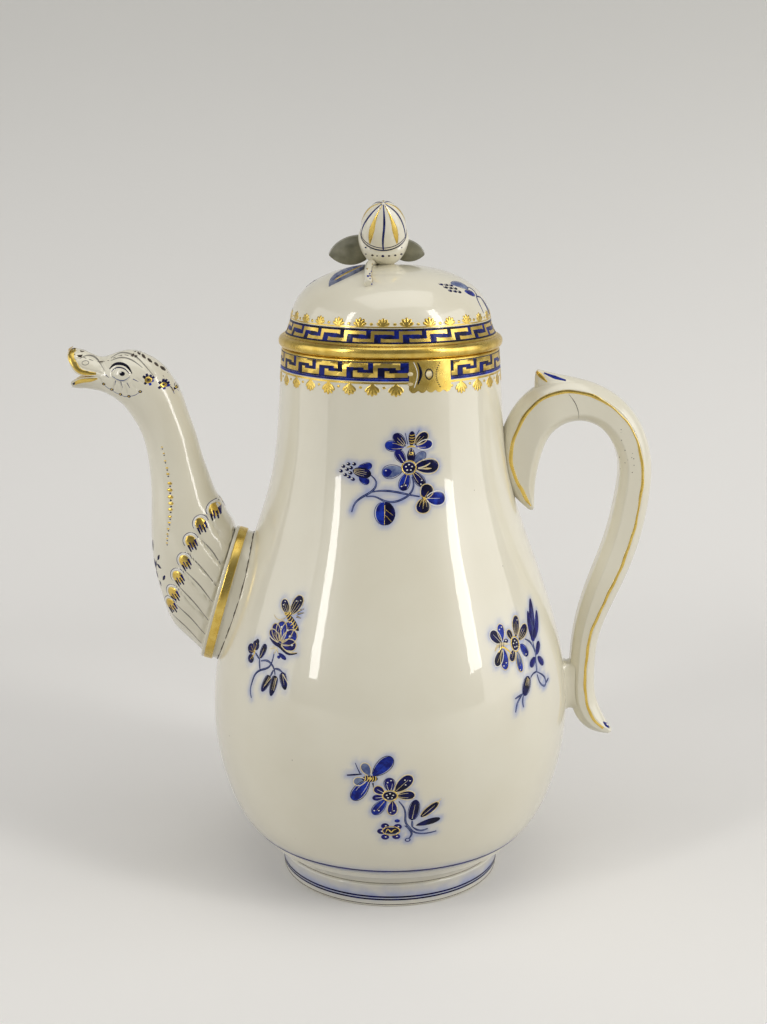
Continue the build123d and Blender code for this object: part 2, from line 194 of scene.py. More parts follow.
class Turned:
    """The outside of a turned piece: the radius and height of its outline along its length."""

    def __init__(self, stations):
        line = sampled(stations, 1500)
        self.radius = line[:, 0]
        self.height = line[:, 1]
        steps = np.hypot(np.diff(self.radius), np.diff(self.height))
        self.length = np.concatenate([[0.0], np.cumsum(steps)])
        self.out = np.gradient(self.height, self.length)
        self.up = -np.gradient(self.radius, self.length)

    def way_at(self, height):
        return np.interp(height, self.height, self.length)

    def radius_at(self, height):
        return np.interp(height, self.height, self.radius)

    def read(self, way):
        """The radius, the height and the outward direction at a way along the outline."""
        return [np.interp(way, self.length, row) for row in (self.radius, self.height, self.out, self.up)]

    def place(self, theta, way, lift):
        """Points at an angle, a way along the outline and a lift off the surface."""
        radius, height, out, up = self.read(way)
        radius = radius + out * lift
        height = height + up * lift
        return np.stack([radius * np.sin(theta), -radius * np.cos(theta), height], axis=-1)

    def patch(self, theta, height):
        """A flat drawing board laid on the surface: x runs to the right, y up."""
        start = self.way_at(height)

        def on(drawing, lift):
            drawing = np.asarray(drawing, float)
            way = start + drawing[:, 1]
            radius = np.interp(way, self.length, self.radius)
            return self.place(theta + drawing[:, 0] / radius, way, lift)

        return on

    def wrap(self, radius):
        """A drawing board wrapped round the piece: x over the radius is the angle, y the way along."""
        def on(drawing, lift):
            drawing = np.asarray(drawing, float)
            return self.place(drawing[:, 0] / radius, drawing[:, 1], lift)

        return on


body = Turned(body_stations)
lid_profile = [(lid_foot_radius, rim_height), *lid_shoulder, (0.0, lid_height)]
lid_stations = [(radius, seat_height + rise) for radius, rise in lid_profile]
lid = Turned(lid_stations)
bud = Turned(bud_outline)


# Meshes

def put_in_scene(name, data):
    made = bpy.data.objects.new(name, data)
    bpy.context.scene.collection.objects.link(made)
    return made


def closed_mesh(name, points, faces):
    """A mesh of points in millimetres, with all its faces turned outward."""
    mesh = bpy.data.meshes.new(name)
    mesh.from_pydata((np.asarray(points, float) * MM).tolist(), [], faces)
    shape = bmesh.new()
    shape.from_mesh(mesh)
    bmesh.ops.recalc_face_normals(shape, faces=shape.faces)
    shape.to_mesh(mesh)
    shape.free()
    return mesh


def add_piece(name, points, faces, material, rides, slot, nodes=(), sharp=38.0):
    """A closed mesh in the pot's frame that rides on a body and stands for some nodes."""
    mesh = closed_mesh(name, points, faces)
    mesh.shade_smooth()
    mesh.set_sharp_from_angle(angle=math.radians(sharp))
    mesh.materials.append(material)
    piece = put_in_scene(name, mesh)
    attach(piece, rides)
    if nodes:
        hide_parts(*nodes)
    return piece


def glazed(node, shape, rides="pot", sharp=38.0):
    """A glazed piece that stands for one node."""
    return add_piece(f"{node}_glazed", *shape, plain_glaze, rides, "glaze", [node], sharp)


def grid_faces(rows, columns, closed=True, start=0):
    """Faces between rows of points that each go all the way round."""
    faces = []
    last = rows if closed else rows - 1
    for row in range(last):
        low = start + row * columns
        high = start + ((row + 1) % rows) * columns
        for column in range(columns):
            after = (column + 1) % columns
            faces.append((low + column, low + after, high + after, high + column))
    return faces


def turned_mesh(outline, segments, closed=False):
    """Points and faces of an outline turned round the pot's axis. An end on the axis is a pole."""
    turns = turns_round(segments)
    points = []
    rings = []
    for radius, height in outline:
        start = len(points)
        if radius < 1e-6:
            rings.append([start] * segments)
            points.append((0.0, 0.0, height))
        else:
            rings.append(list(range(start, start + segments)))
            points.extend(zip(radius * np.sin(turns), -radius * np.cos(turns), [height] * segments))
    faces = []
    pairs = list(zip(rings, rings[1:]))
    if closed:
        pairs.append((rings[-1], rings[0]))
    for low, high in pairs:
        for column in range(segments):
            after = (column + 1) % segments
            corners = [low[column], low[after], high[after], high[column]]
            faces.append(tuple(dict.fromkeys(corners)))
    return points, faces


def capped_rings(rings):
    """Points and faces of a tube through rings of points, with a fan at each end."""
    rings = np.asarray(rings, float)
    rows, columns = rings.shape[:2]
    points = rings.reshape(-1, 3).tolist()
    faces = grid_faces(rows, columns, closed=False)
    for row in (0, rows - 1):
        middle = len(points)
        points.append(rings[row].mean(axis=0).tolist())
        start = row * columns
        faces.extend((start + c, start + (c + 1) % columns, middle) for c in range(columns))
    return points, faces


def cut(piece, cutters):
    """Takes closed meshes away from a piece."""
    for points, faces in cutters:
        tool = put_in_scene("cutter", closed_mesh("cutter", points, faces))
        step = piece.modifiers.new("cut", "BOOLEAN")
        step.operation = "DIFFERENCE"
        step.solver = "EXACT"
        step.object = tool
        bpy.context.view_layer.update()
        evaluated = piece.evaluated_get(bpy.context.evaluated_depsgraph_get())
        result = bpy.data.meshes.new_from_object(evaluated)
        piece.modifiers.clear()
        piece.data = result
        bpy.data.objects.remove(tool)


# Paint: raised strokes of enamel and gold, gathered by body and ink and joined at the end

paint = {}
halo_points = []
# How deep a stroke's edges sink into the glaze, and how far each ink stands above it
sink = 0.12
lifts = {
    "mid": 0.04, "grey": 0.035, "line": 0.05, "dark": 0.06, "deep": 0.055, "black": 0.07,
    "brown": 0.06, "shade": 0.03, "gold": 0.10, "pale": 0.11, "white": 0.13, "ground": 0.03,
}
broad_half = 1.1


def lay(rides, ink, points, faces):
    """Adds a closed shape to the paint of one ink on one body."""
    held_points, held_faces = paint.setdefault((rides, ink), ([], []))
    start = len(held_points)
    held_points.extend(np.asarray(points, float).reshape(-1, 3).tolist())
    held_faces.extend(tuple(start + corner for corner in face) for face in faces)


def ridge(on, line, reach, section, ink, rides, closed=False):
    """A strip of paint along a line. Its section holds shares of the reach aside, and lifts."""
    rings = np.stack([on(line + reach * share, lift) for share, lift in section], axis=1)
    if closed:
        lay(rides, ink, rings, grid_faces(len(line), len(section)))
    else:
        lay(rides, ink, *capped_rings(rings))
    return rings


def flat_top(lift, edge, count):
    """A strip's section with steep sides and an even top."""
    return [(-1.0, -sink), *((share, lift) for share in np.linspace(-edge, edge, count)), (1.0, -sink)]


def sides_of(line, closed=False):
    """Unit vectors to the left of a flat line."""
    if closed:
        along = np.roll(line, -1, axis=0) - np.roll(line, 1, axis=0)
    else:
        along = np.gradient(line, axis=0)
    along = along / np.maximum(np.linalg.norm(along, axis=1), 1e-9)[:, None]
    return np.stack([-along[:, 1], along[:, 0]], axis=1)


def ribbon(on, line, half, ink, rides="pot", closed=False, halo=False, over=0.0):
    """A low rounded ridge along a flat line, with a half width for each of its points."""
    line = np.asarray(line, float)
    half = np.broadcast_to(np.asarray(half, float), (len(line),))
    lift = lifts[ink] + over
    rise = [(0.85, 0.8), (0.4, 1.0)] if half.max() > broad_half else [(0.72, 0.75)]
    left = [(-share, high * lift) for share, high in rise]
    right = [(share, high * lift) for share, high in reversed(rise)]
    section = [(-1.0, -sink), *left, (0.0, lift), *right, (1.0, -sink)]
    rings = ridge(on, line, sides_of(line, closed) * half[:, None], section, ink, rides, closed)
    if halo:
        halo_points.extend(rings[:, 1].tolist() + rings[:, -2].tolist())


def stroke(on, points, widths, ink, **more):
    """A brush stroke through a few points, whose width changes along it."""
    points = np.asarray(points, float)
    length = np.linalg.norm(np.diff(points, axis=0), axis=1).sum()
    count = max(6, int(length / 0.45))
    widths = np.atleast_1d(widths)
    share = np.linspace(0, 1, count)
    half = np.interp(share, np.linspace(0, 1, len(widths)), widths) / 2
    ribbon(on, sampled(points, count), half, ink, **more)


def stems(on, lines):
    """Stems: dark strokes with a paler middle."""
    for points in lines:
        stroke(on, points, [0.5, 0.95, 0.9, 0.6], "line", halo=True)
        stroke(on, points, [0.1, 0.3, 0.28, 0.1], "grey", over=0.035)


def round_steps(count):
    """Shares of a length, close together at both ends."""
    return (1 - np.cos(np.linspace(0, math.pi, count))) / 2


def swell(share, peak):
    """A width that is nothing at both ends and widest at the peak."""
    bent = share ** (math.log(0.5) / math.log(peak))
    return np.maximum(np.sqrt(4 * bent * (1 - bent)), 0.05)


def petal(on, base, tip, width, ink, bend=0.0, peak=0.6, veins=0, vein_ink="pale", edge=None, dots=0,
          rides="pot", **more):
    """A petal, a leaf or a wing: one broad dab, with fine veins, an edge line and dots."""
    base, tip = np.array(base, float), np.array(tip, float)
    length = np.linalg.norm(tip - base)
    aside = np.array([base[1] - tip[1], tip[0] - base[0]]) / length
    middle = (base + tip) / 2 + aside * bend
    count = max(12, int(length * 2.2))
    share = round_steps(count)
    curve = smooth_curve([base, middle, tip])
    line = curve(share)
    half = swell(share, peak) * width / 2
    ribbon(on, line, half, ink, rides, **more)
    left = sides_of(line)
    for u in (np.linspace(-0.5, 0.5, veins) if veins > 1 else [0.0] * veins):
        keep = (share > 0.05) & (share < 0.80 - 0.2 * abs(u))
        vein = (line + left * (half * u)[:, None])[keep]
        ribbon(on, vein, np.linspace(0.12, 0.05, len(vein)), vein_ink, rides)
    if edge:
        rim = left * (half * 1.03)[:, None]
        outline = np.concatenate([(line + rim)[2:], (line - rim)[:1:-1]])
        ribbon(on, outline, 0.2 if edge in ("pale", "white") else 0.13, edge, rides)
    for number in range(dots):
        place = curve([0.80 - 0.13 * number])[0]
        side = left[count // 2] * (0.32 * width * (number % 2 - 0.5))
        dot(on, place + side, 0.26, "white", rides=rides)


def blob(on, at, across, up, ink, steps, thinnest, **more):
    """A dab that many millimetres across and up from its middle."""
    share = round_steps(steps)
    line = np.array(at, float) + np.stack([across * (2 * share - 1), 0 * share], axis=1)
    half = up * np.maximum(np.sqrt(1 - (2 * share - 1) ** 2), thinnest)
    ribbon(on, line, half, ink, **more)


def dot(on, at, radius, ink, stretch=1.0, **more):
    """A round or oval dab."""
    blob(on, at, radius * stretch, radius, ink, 9, 0.08, **more)


def loop(on, at, radii, width, ink, **more):
    """A round or oval line."""
    turns = turns_round(max(20, int(7 * max(radii))))
    line = np.array(at, float) + np.stack([radii[0] * np.cos(turns), radii[1] * np.sin(turns)], axis=1)
    ribbon(on, line, width / 2, ink, closed=True, **more)


def flower_eye(on, at, radii, **more):
    """A flower's dark middle with its pale seeds and its gold ring."""
    blob(on, at, *radii, "dark", 15, 0.06, over=0.02, **more)
    loop(on, at, (radii[0] + 0.25, radii[1] + 0.25), 0.5, "gold")
    for turn in turns_round(5) + 0.3:
        place = (at[0] + 0.5 * radii[0] * math.cos(turn), at[1] + 0.5 * radii[1] * math.sin(turn))
        dot(on, place, 0.3, "white")


def glinting(on, at, radius, ink, glint_at, glint, over=0.0, **more):
    """A dab with a small white glint beside its middle."""
    dot(on, at, radius, ink, **more)
    dot(on, (at[0] + glint_at[0], at[1] + glint_at[1]), glint, "white", over=over)


def gold_bead(on, at, radius):
    """A gold dab with a dark pupil."""
    dot(on, at, radius, "gold", over=0.03)
    dot(on, at, 0.3, "dark", over=0.11)


def stripes(on, count, shape, step, widths=(0.25, 0.5, 0.25), over=0.04):
    """Gold stripes across an insect's body, each a step beside the last."""
    for number in range(count):
        stroke(on, np.array(shape) + number * np.array(step), widths, "gold", over=over)


class Brush:
    """The marks above, for one board. The blue of a wet brush bleeds into the glaze."""

    def __init__(self, on, **more):
        for mark in (petal, stroke, dot, loop, flower_eye):
            setattr(self, mark.__name__, partial(mark, on, **more))


def brushes(on):
    """A wet and a dry brush."""
    return Brush(on, halo=True), Brush(on)


def mitred(corners, spacing=1.3):
    """A line with sharp corners, as points and as vectors to its left that reach a mitred edge."""
    corners = np.asarray(corners, float)
    ways = np.diff(corners, axis=0)
    ways = ways / np.linalg.norm(ways, axis=1)[:, None]
    lefts = np.stack([-ways[:, 1], ways[:, 0]], axis=1)
    points, reach = [], []
    for i, corner in enumerate(corners):
        if 0 < i < len(corners) - 1:
            both = lefts[i - 1] + lefts[i]
            reach.append(both * 2 / (both @ both))
        else:
            reach.append(lefts[min(i, len(lefts) - 1)])
        points.append(corner)
        if i < len(corners) - 1:
            gap = np.linalg.norm(corners[i + 1] - corner)
            for step in range(1, int(gap / spacing)):
                points.append(corner + ways[i] * gap * step / int(gap / spacing))
                reach.append(lefts[i])
    return np.array(points), np.array(reach)


def fret(on, corners, width, ink, rides):
    """A flat bar with mitred corners."""
    points, reach = mitred(corners)
    ridge(on, points, reach * width / 2, flat_top(lifts[ink], 0.9, 2), ink, rides)


def ring_bands(on, radius, rides, bands, start=0.0, end=full_turn):
    """Bands round a turned piece: the heights of both edges on its board, the ink, more lift."""
    whole = end - start > full_turn - 0.01
    count = int(240 * (end - start) / full_turn)
    turns = np.linspace(start, end, count, endpoint=not whole)
    for low, high, ink, over in bands:
        half = (high - low) / 2
        section = flat_top(lifts[ink] + over, 0.97, 2 if half < 0.5 else 8)
        line = np.stack([turns * radius, np.full(count, (low + high) / 2)], axis=1)
        ridge(on, line, np.array([0.0, half]), section, ink, rides, closed=whole)


# Materials

class Shader:
    """A material built from nodes."""

    def __init__(self, name):
        self.material = bpy.data.materials.new(name)
        self.material.use_nodes = True
        self.tree = self.material.node_tree
        self.surface = self.tree.nodes["Principled BSDF"]
        self.where = self.tree.nodes.new("ShaderNodeTexCoord").outputs["Object"]

    def set(self, **values):
        for name, value in values.items():
            self.surface.inputs[name.replace("_", " ")].default_value = value

    def node(self, kind, links=(), **settings):
        made = self.tree.nodes.new(kind)
        for name, value in settings.items():
            setattr(made, name, value)
        for socket, source in dict(links).items():
            if isinstance(source, bpy.types.NodeSocket):
                self.tree.links.new(source, made.inputs[socket])
            else:
                made.inputs[socket].default_value = source
        return made

    def link(self, source, name):
        self.tree.links.new(source, self.surface.inputs[name])

    def noise(self, scale, detail=2.0, roughness=0.5, distortion=0.0):
        return self.node("ShaderNodeTexNoise", {
            "Vector": self.where, "Scale": scale, "Detail": detail,
            "Roughness": roughness, "Distortion": distortion,
        }).outputs["Fac"]

    def ramp(self, source, stops, smooth="LINEAR"):
        """A colour or a grey read off a scale of stops."""
        made = self.node("ShaderNodeValToRGB", {"Fac": source})
        made.color_ramp.interpolation = smooth
        elements = made.color_ramp.elements
        while len(elements) < len(stops):
            elements.new(1.0)
        for element, (position, colour) in zip(elements, stops):
            element.position = position
            element.color = colour if isinstance(colour, tuple) else (colour, colour, colour, 1.0)
        return made.outputs["Color"]

    def calculate(self, operation, first, second):
        return self.node("ShaderNodeMath", {0: first, 1: second}, operation=operation).outputs[0]

    def mix(self, share, first, second):
        made = self.node("ShaderNodeMix", data_type="RGBA")
        for name, value in (("Factor", share), ("A", first), ("B", second)):
            socket = [s for s in made.inputs if s.name == name and s.enabled][0]
            if isinstance(value, bpy.types.NodeSocket):
                self.tree.links.new(value, socket)
            else:
                socket.default_value = value
        return [s for s in made.outputs if s.enabled][0]

    def bump(self, source, strength, distance, under=None):
        links = {"Height": source, "Strength": strength, "Distance": distance}
        if under is not None:
            links["Normal"] = under
        return self.node("ShaderNodeBump", links).outputs["Normal"]


cream = (0.835, 0.80, 0.655, 1.0)
warm_cream = (0.79, 0.745, 0.59, 1.0)
wash_blue = (0.25, 0.32, 0.62, 1.0)
speck_brown = (0.22, 0.16, 0.10, 1.0)


def glaze_colour(shader):
    """Creamy glaze: a faint mottle and rare small iron specks."""
    mottle = shader.ramp(shader.noise(28.0, 4.0), [(0.35, 0.0), (0.7, 1.0)])
    colour = shader.mix(mottle, cream, warm_cream)
    cells = shader.node("ShaderNodeTexVoronoi", {"Vector": shader.where, "Scale": 130.0})
    dots = shader.ramp(cells.outputs["Distance"], [(0.018, 1.0), (0.035, 0.0)])
    rare = shader.ramp(cells.outputs["Color"], [(0.72, 0.0), (0.76, 1.0)])
    specks = shader.calculate("MULTIPLY", shader.calculate("MULTIPLY", dots, rare), 0.7)
    bled = shader.node("ShaderNodeAttribute", attribute_name="wash").outputs["Fac"]
    cloud = shader.ramp(shader.noise(160.0, 3.0), [(0.3, 0.35), (0.7, 0.9)])
    colour = shader.mix(shader.calculate("MULTIPLY", bled, cloud), colour, wash_blue)
    return shader.mix(specks, colour, speck_brown)


def glaze_gloss(shader):
    """A glassy coat that lies in slow waves over the clay."""
    shader.set(Roughness=0.32, Coat_Weight=1.0, Coat_Roughness=0.025, Coat_IOR=1.5)
    waves = shader.bump(shader.noise(45.0, 2.0), 0.10, 0.0010)
    skin = shader.bump(shader.noise(420.0, 2.0), 0.05, 0.0002, waves)
    shader.link(skin, "Normal")
    shader.link(skin, "Coat Normal")


def glaze():
    shader = Shader("glaze")
    shader.link(glaze_colour(shader), "Base Color")
    glaze_gloss(shader)
    return shader.material


def enamel(name, dark, bright):
    """Painted colour that pooled: dark with brighter patches, less glassy than the bare glaze."""
    shader = Shader(name)
    pools = shader.ramp(shader.noise(310.0, 3.0, 0.6), [(0.42, 0.0), (0.62, 1.0)])
    shader.link(shader.mix(pools, dark, bright), "Base Color")
    shader.set(Roughness=0.42, Specular_IOR_Level=0.12, Coat_Weight=0.14, Coat_Roughness=0.04)
    skin = shader.bump(shader.noise(420.0, 2.0), 0.08, 0.0002)
    shader.link(skin, "Normal")
    shader.link(skin, "Coat Normal")
    return shader.material


def gilding():
    """Bright gold, burnished unevenly, and thin where it was rubbed."""
    shader = Shader("gilding")
    tone = shader.ramp(shader.noise(320.0, 3.0), [(0.3, 0.0), (0.75, 1.0)])
    colour = shader.mix(tone, (0.63, 0.43, 0.085, 1.0), (0.80, 0.60, 0.17, 1.0))
    rubbed = shader.ramp(shader.noise(700.0, 3.0, 0.6), [(0.70, 0.0), (0.80, 0.5)])
    shader.link(shader.mix(rubbed, colour, (0.42, 0.27, 0.07, 1.0)), "Base Color")
    rough = shader.ramp(shader.noise(180.0, 2.0), [(0.3, 0.24), (0.7, 0.31)])
    shader.link(rough, "Roughness")
    shader.link(shader.bump(shader.noise(240.0, 2.0), 0.025, 0.0002), "Normal")
    shader.set(Metallic=1.0)
    return shader.material


# Painted shade: the side leaves' olive-grey glaze is far darker than the porcelain, partly their own tint
# and partly the shade under their curled blades.
def leaf_glaze():
    shader = Shader("leaf_glaze")
    tone = shader.ramp(shader.noise(240.0, 3.0), [(0.3, 0.0), (0.75, 1.0)])
    shader.link(shader.mix(tone, (0.135, 0.135, 0.085, 1.0), (0.27, 0.26, 0.18, 1.0)), "Base Color")
    glaze_gloss(shader)
    return shader.material


plain_glaze = glaze()
gold = gilding()
leaf_green_and_shade = leaf_glaze()
leaf_blue = enamel("leaf_blue", (0.10, 0.12, 0.22, 1.0), (0.24, 0.26, 0.34, 1.0))


# The pot

def vessel_outline():
    """The whole vessel's outline, from the middle of its underside over the mouth to the floor."""
    lip_height = mouth_height - lip_round
    outside = [(body.radius_at(z), z) for z in np.linspace(foot_height, lip_height, 118)]
    lip = arc((mouth_radius - lip_round, lip_height), lip_round, 0, 90, 6)
    lip += arc((mouth_radius - body_wall + lip_round, lip_height), lip_round, 90, 180, 6)
    inside = []
    for z in np.linspace(mouth_height - 2, floor_height + 6, 50):
        _, _, out, up = body.read(body.way_at(z))
        inside.append((body.radius_at(z) - out * body_wall, z - up * body_wall))
    inside = [(r, z) for r, z in inside if z > floor_height + 3]
    inner_radius = inside[-1][0]
    corner = [(inner_radius - 2.0, floor_height + 1.0), (inner_radius - floor_corner, floor_height)]
    under = [(0.0, foot_height + 0.4), (20.0, foot_height + 0.3), (33.0, foot_height + 0.1)]
    return [*under, *outside, *lip, *inside, *corner, (20.0, floor_height), (0.0, floor_height)]


lean = math.radians(collar_lean)
collar_out = np.array([-math.cos(lean), 0.0, math.sin(lean)])
collar_up = np.array([math.sin(lean), 0.0, math.cos(lean)])
across = np.array([0.0, 1.0, 0.0])
collar_middle = np.array([-(float(body.radius_at(collar_height)) + collar_standoff), 0.0, collar_height])


def drill(x, y):
    """One hole of the strainer, bored through the body's wall along the spout."""
    rings = []
    for depth in (2.0, 20.0):
        middle = collar_middle + collar_up * x + across * y - collar_out * depth
        rings.append([
            middle + strainer_hole_radius * (collar_up * math.cos(t) + across * math.sin(t))
            for t in turns_round(24)
        ])
    return capped_rings(rings)


def pot_body():
    piece = glazed("pot_body", turned_mesh(vessel_outline(), 360))
    ring = [(strainer_ring_radius * math.cos(t), strainer_ring_radius * math.sin(t)) for t in turns_round(6)]
    cut(piece, [drill(x, y) for x, y in [(0.0, 0.0), *ring]])
    return piece


def foot_ring():
    base = foot_base_radius
    outline = [
        *arc((foot_inner_radius + 0.6, 0.6), 0.6, 180, 270, 5),
        *arc((base - 0.8, 0.8), 0.8, 270, 350, 6),
        *((foot_side.radius_at(z), z) for z in np.linspace(0.8, 8.2, 14)),
        *arc((foot_top_radius - 0.7, foot_height - 0.7), 0.7, 10, 90, 6),
        (foot_inner_radius + 0.4, foot_height), (foot_inner_radius, foot_height - 0.4),
    ]
    return glazed("foot_ring", turned_mesh(outline, 300, closed=True))


def oval_point(turn, out, depth):
    """A point of the collar: round its oval, outside its edge and behind its front face."""
    along = (collar_half_length + out) * np.cos(turn)
    aside = (collar_half_width + out) * np.sin(turn)
    return collar_middle + along * collar_up + aside * across - depth * collar_out


def collar_root(turn, out):
    """How deep the collar's side reaches before it is inside the body."""
    depths = np.linspace(collar_band_depth, 30.0, 400)
    for depth in depths:
        x, y, z = oval_point(turn, out, depth)
        if math.hypot(x, y) < body.radius_at(z) - collar_bite:
            return depth
    return depths[-1]


def spout_collar():
    """The oval band between the spout and the body: a white lip, a gilded face, a pale base."""
    turns = turns_round(200)
    deep = collar_band_depth
    profile = [
        (-3.4, 0.95), (-2.4, 0.8), (-1.8, 0.4), (-1.2, 0.08), (-0.7, 0.0), (-0.25, 0.12), (0.0, 0.5),
        (0.02, 0.9), (-0.1, 1.2), (0.0, 1.6), (0.0, deep - 1.6), (0.0, deep - 0.6),
        (-0.12, deep - 0.2), (-0.45, deep), (-0.6, deep + 0.4),
    ]
    rows = [[oval_point(t, out, depth) for t in turns] for out, depth in profile]
    roots = [collar_root(t, -0.4) for t in turns]
    for out, share in ((-0.55, 0.7), (-0.1, 1.0), (-4.0, 1.0)):
        rows.append([oval_point(t, out, deep + share * (root - deep)) for t, root in zip(turns, roots)])
    return glazed("spout_collar", (np.array(rows).reshape(-1, 3), grid_faces(len(rows), len(turns))))


# The bird's neck and head, which are the spout

def spout_table():
    """The spout's sections as rows of x, z, the long axis's x and z, half length, half width."""
    rows = []
    for outward, upward, angle, half_length, half_width in spout_sections:
        turn = math.radians(angle)
        x = collar_middle[0] - outward
        z = collar_middle[2] + upward
        rows.append((x, z, math.cos(turn), math.sin(turn), half_length, half_width))
    return rows


spout_curve = smooth_curve(spout_table(), 2)


def spout_base(share, phi):
    """A point of the spout before its relief is added: phi 0 is its back, which faces the pot."""
    share = np.asarray(share, float)
    row = spout_curve(share.ravel()).reshape(*share.shape, 6)
    x = row[..., 0] + row[..., 2] * row[..., 4] * np.cos(phi)
    z = row[..., 1] + row[..., 3] * row[..., 4] * np.cos(phi)
    y = row[..., 5] * np.sin(phi)
    return np.stack([x, y, z], axis=-1)


# The edges of the open bill in the side view, from its corner to its tip
upper_lip = [
    (-101.0, 182.0), (-105.1, 182.3), (-108.1, 183.1), (-109.8, 185.6), (-110.9, 187.7),
    (-111.2, 189.6), (-110.8, 191.2), (-109.7, 192.6),
]
lower_lip = [
    (-101.0, 182.0), (-103.7, 181.7), (-106.7, 181.4), (-108.5, 180.8), (-110.2, 179.9),
    (-110.5, 178.9), (-109.9, 177.6),
]


def gape_cutter():
    """The wedge between the two halves of the bill."""
    upper = sampled(upper_lip, 30).tolist()
    lower = sampled(lower_lip, 24).tolist()
    outline = [*upper, (-113.0, 197.0), (-122.0, 197.0), (-122.0, 176.0), *lower[:0:-1]]
    count = len(outline)
    points = [(x, side, z) for side in (-14, 14) for x, z in outline]
    faces = [tuple(range(count)), tuple(range(2 * count - 1, count - 1, -1))]
    for i in range(count):
        after = (i + 1) % count
        faces.append((i, after, count + after, count + i))
    return points, faces


# The handle

def handle_table():
    rows = []
    for height, outward, depth, width, angle in handle_sections:
        turn = math.radians(angle)
        x = float(body.radius_at(height)) + outward
        rows.append((x, height, depth, width, math.cos(turn), math.sin(turn)))
    return rows


handle_curve = smooth_curve(handle_table(), 2)


def strap_section(depth, width):
    """The strap's outline across its run, softened at its corners."""
    crown = min(handle_crown, depth * 0.35)
    bevel = min(handle_bevel, depth * 0.28)
    half = width / 2
    back = depth / 2
    side = [(back - crown * abs(t) ** 2.2, half * t) for t in np.linspace(0, 0.94, 7)]
    side += [(x, half) for x in np.linspace(back - crown, bevel - back, 7)]
    side += [(-back, handle_inner_flat * half), (-back, handle_inner_flat * half * 0.4)]
    mirrored = [(x, -y) for x, y in reversed(side)]
    outline = np.array(side + mirrored[:-1])
    for _ in range(2):
        after = np.roll(outline, -1, axis=0)
        outline = np.stack([0.75 * outline + 0.25 * after, 0.25 * outline + 0.75 * after], axis=1)
        outline = outline.reshape(-1, 2)
    return outline


def handle():
    rows = handle_curve(np.linspace(0, 1, 320))
    round_ends = [(0.25, 1.3), (0.6, 0.9), (0.85, 0.4)]

    def ring(row, grow=1.0, ahead=0.0):
        x, z, depth, width, run_x, run_z = row
        size = math.hypot(run_x, run_z)
        run = np.array([run_x, 0, run_z]) / size
        outside = np.array([-run[2], 0, run[0]])
        section = strap_section(depth, width) * grow
        middle = np.array([x, 0, z]) + run * ahead
        return [middle + outside * a + across * b for a, b in section]

    rings = [ring(rows[0], grow, -ahead) for grow, ahead in round_ends]
    rings += [ring(row) for row in rows]
    rings += [ring(rows[-1], grow, ahead) for grow, ahead in reversed(round_ends)]
    return glazed("handle", capped_rings(rings), sharp=50.0)


# The thumb rest's ridge in the side view, and its half width along the ridge
crest_line = [
    (50.4, 183.0), (51.2, 183.85), (53.0, 183.45), (55.4, 182.8), (58.9, 182.05), (64.1, 181.1),
    (69.4, 179.6), (73.5, 177.9),
]
crest_halves = [(50.0, 1.5), (51.2, 2.6), (54.0, 3.6), (60.0, 4.6), (73.5, 5.6)]
crest_sink = 0.10
crest_thickness = 1.2


def read_off(x, pairs):
    """The second number at x, read off a line through pairs of numbers."""
    return float(np.interp(x, *zip(*pairs)))


def thumb_rest(strap):
    """The spur on the handle's crown, which runs out to the right."""
    tree = tree_of(strap)
    down = Vector((0, 0, -1))
    sky = 220.0
    rings = []
    for x in np.concatenate([[50.15, 50.3], np.linspace(50.45, 51.6, 8), np.linspace(52.0, 73.4, 60)]):
        half = read_off(x, crest_halves)
        high = read_off(x, crest_line)
        if x < crest_line[0][0]:
            high -= 0.9 if x > 50.2 else 1.9
        middle = tree.ray_cast(Vector((x, 0, sky)), down)[0].z
        top, low = [], []
        for u in np.linspace(-1, 1, 33):
            ground = tree.ray_cast(Vector((x, u * half, sky)), down)[0].z
            rise = max(high - middle, 0.0) * (1 - abs(u) ** 2.4) ** 1.3
            top.append((x, u * half, ground - crest_sink + rise))
            low.append((x, u * half, ground - crest_thickness))
        rings.append(top + low[::-1])
    return glazed("thumb_rest", capped_rings(rings), sharp=60.0)


def handle_lug():
    """The luted joint between the lower strap and the body, with its fillets."""
    rows = handle_curve(np.linspace(0.5, 1, 400))
    rings = []
    for share in np.linspace(0, 1, 17):
        flare = (2 * share - 1) ** 2
        ring = []
        for turn in turns_round(72):
            c, s = math.cos(turn), math.sin(turn)
            y = math.copysign(abs(c) ** 0.55, c) * (lug_half_width + 0.3 * flare)
            z = lug_height + math.copysign(abs(s) ** 0.8, s) * (lug_half_length + 2.6 * flare)
            near = rows[np.argmin(np.abs(rows[:, 1] - z))]
            inner = float(body.radius_at(z)) - 1.2
            outer = near[0] - near[2] / 2 + 1.6
            ring.append((inner + (outer - inner) * share, y, z))
        rings.append(ring)
    return glazed("handle_lug", capped_rings(rings), sharp=60.0)


# The lid

def lid_dome():
    foot = seat_height + rim_height
    outside = sampled(lid_stations, 90)[:-1].tolist()
    inside = []
    for share in np.linspace(0.95, 0.12, 30):
        r, z, out, up = lid.read(share * lid.length[-1])
        inside.append((r - out * lid_wall, z - up * lid_wall))
    inside = [(r, z) for r, z in inside if z > foot + 1.5]
    low = [(flange_inner_radius, foot), (lid_foot_radius - 1.0, foot)]
    top = lid_stations[-1][1]
    outline = [(0.0, top - lid_wall), *inside, *low, *outside, (0.0, top)]
    return glazed("lid_dome", turned_mesh(outline, 300), rides="lid")


def lid_rim():
    centre = rim_radius - rim_round
    outline = [
        (flange_inner_radius + 0.3, seat_height),
        *arc((centre, seat_height + rim_round), rim_round, 270, 360, 10),
        *arc((centre, seat_height + rim_height - rim_round), rim_round, 0, 90, 10),
        (flange_inner_radius + 0.3, seat_height + rim_height),
    ]
    shape = turned_mesh(outline, 300, closed=True)
    return add_piece("lid_rim_gilded", *shape, gold, "lid", "gilding", ["lid_rim"])


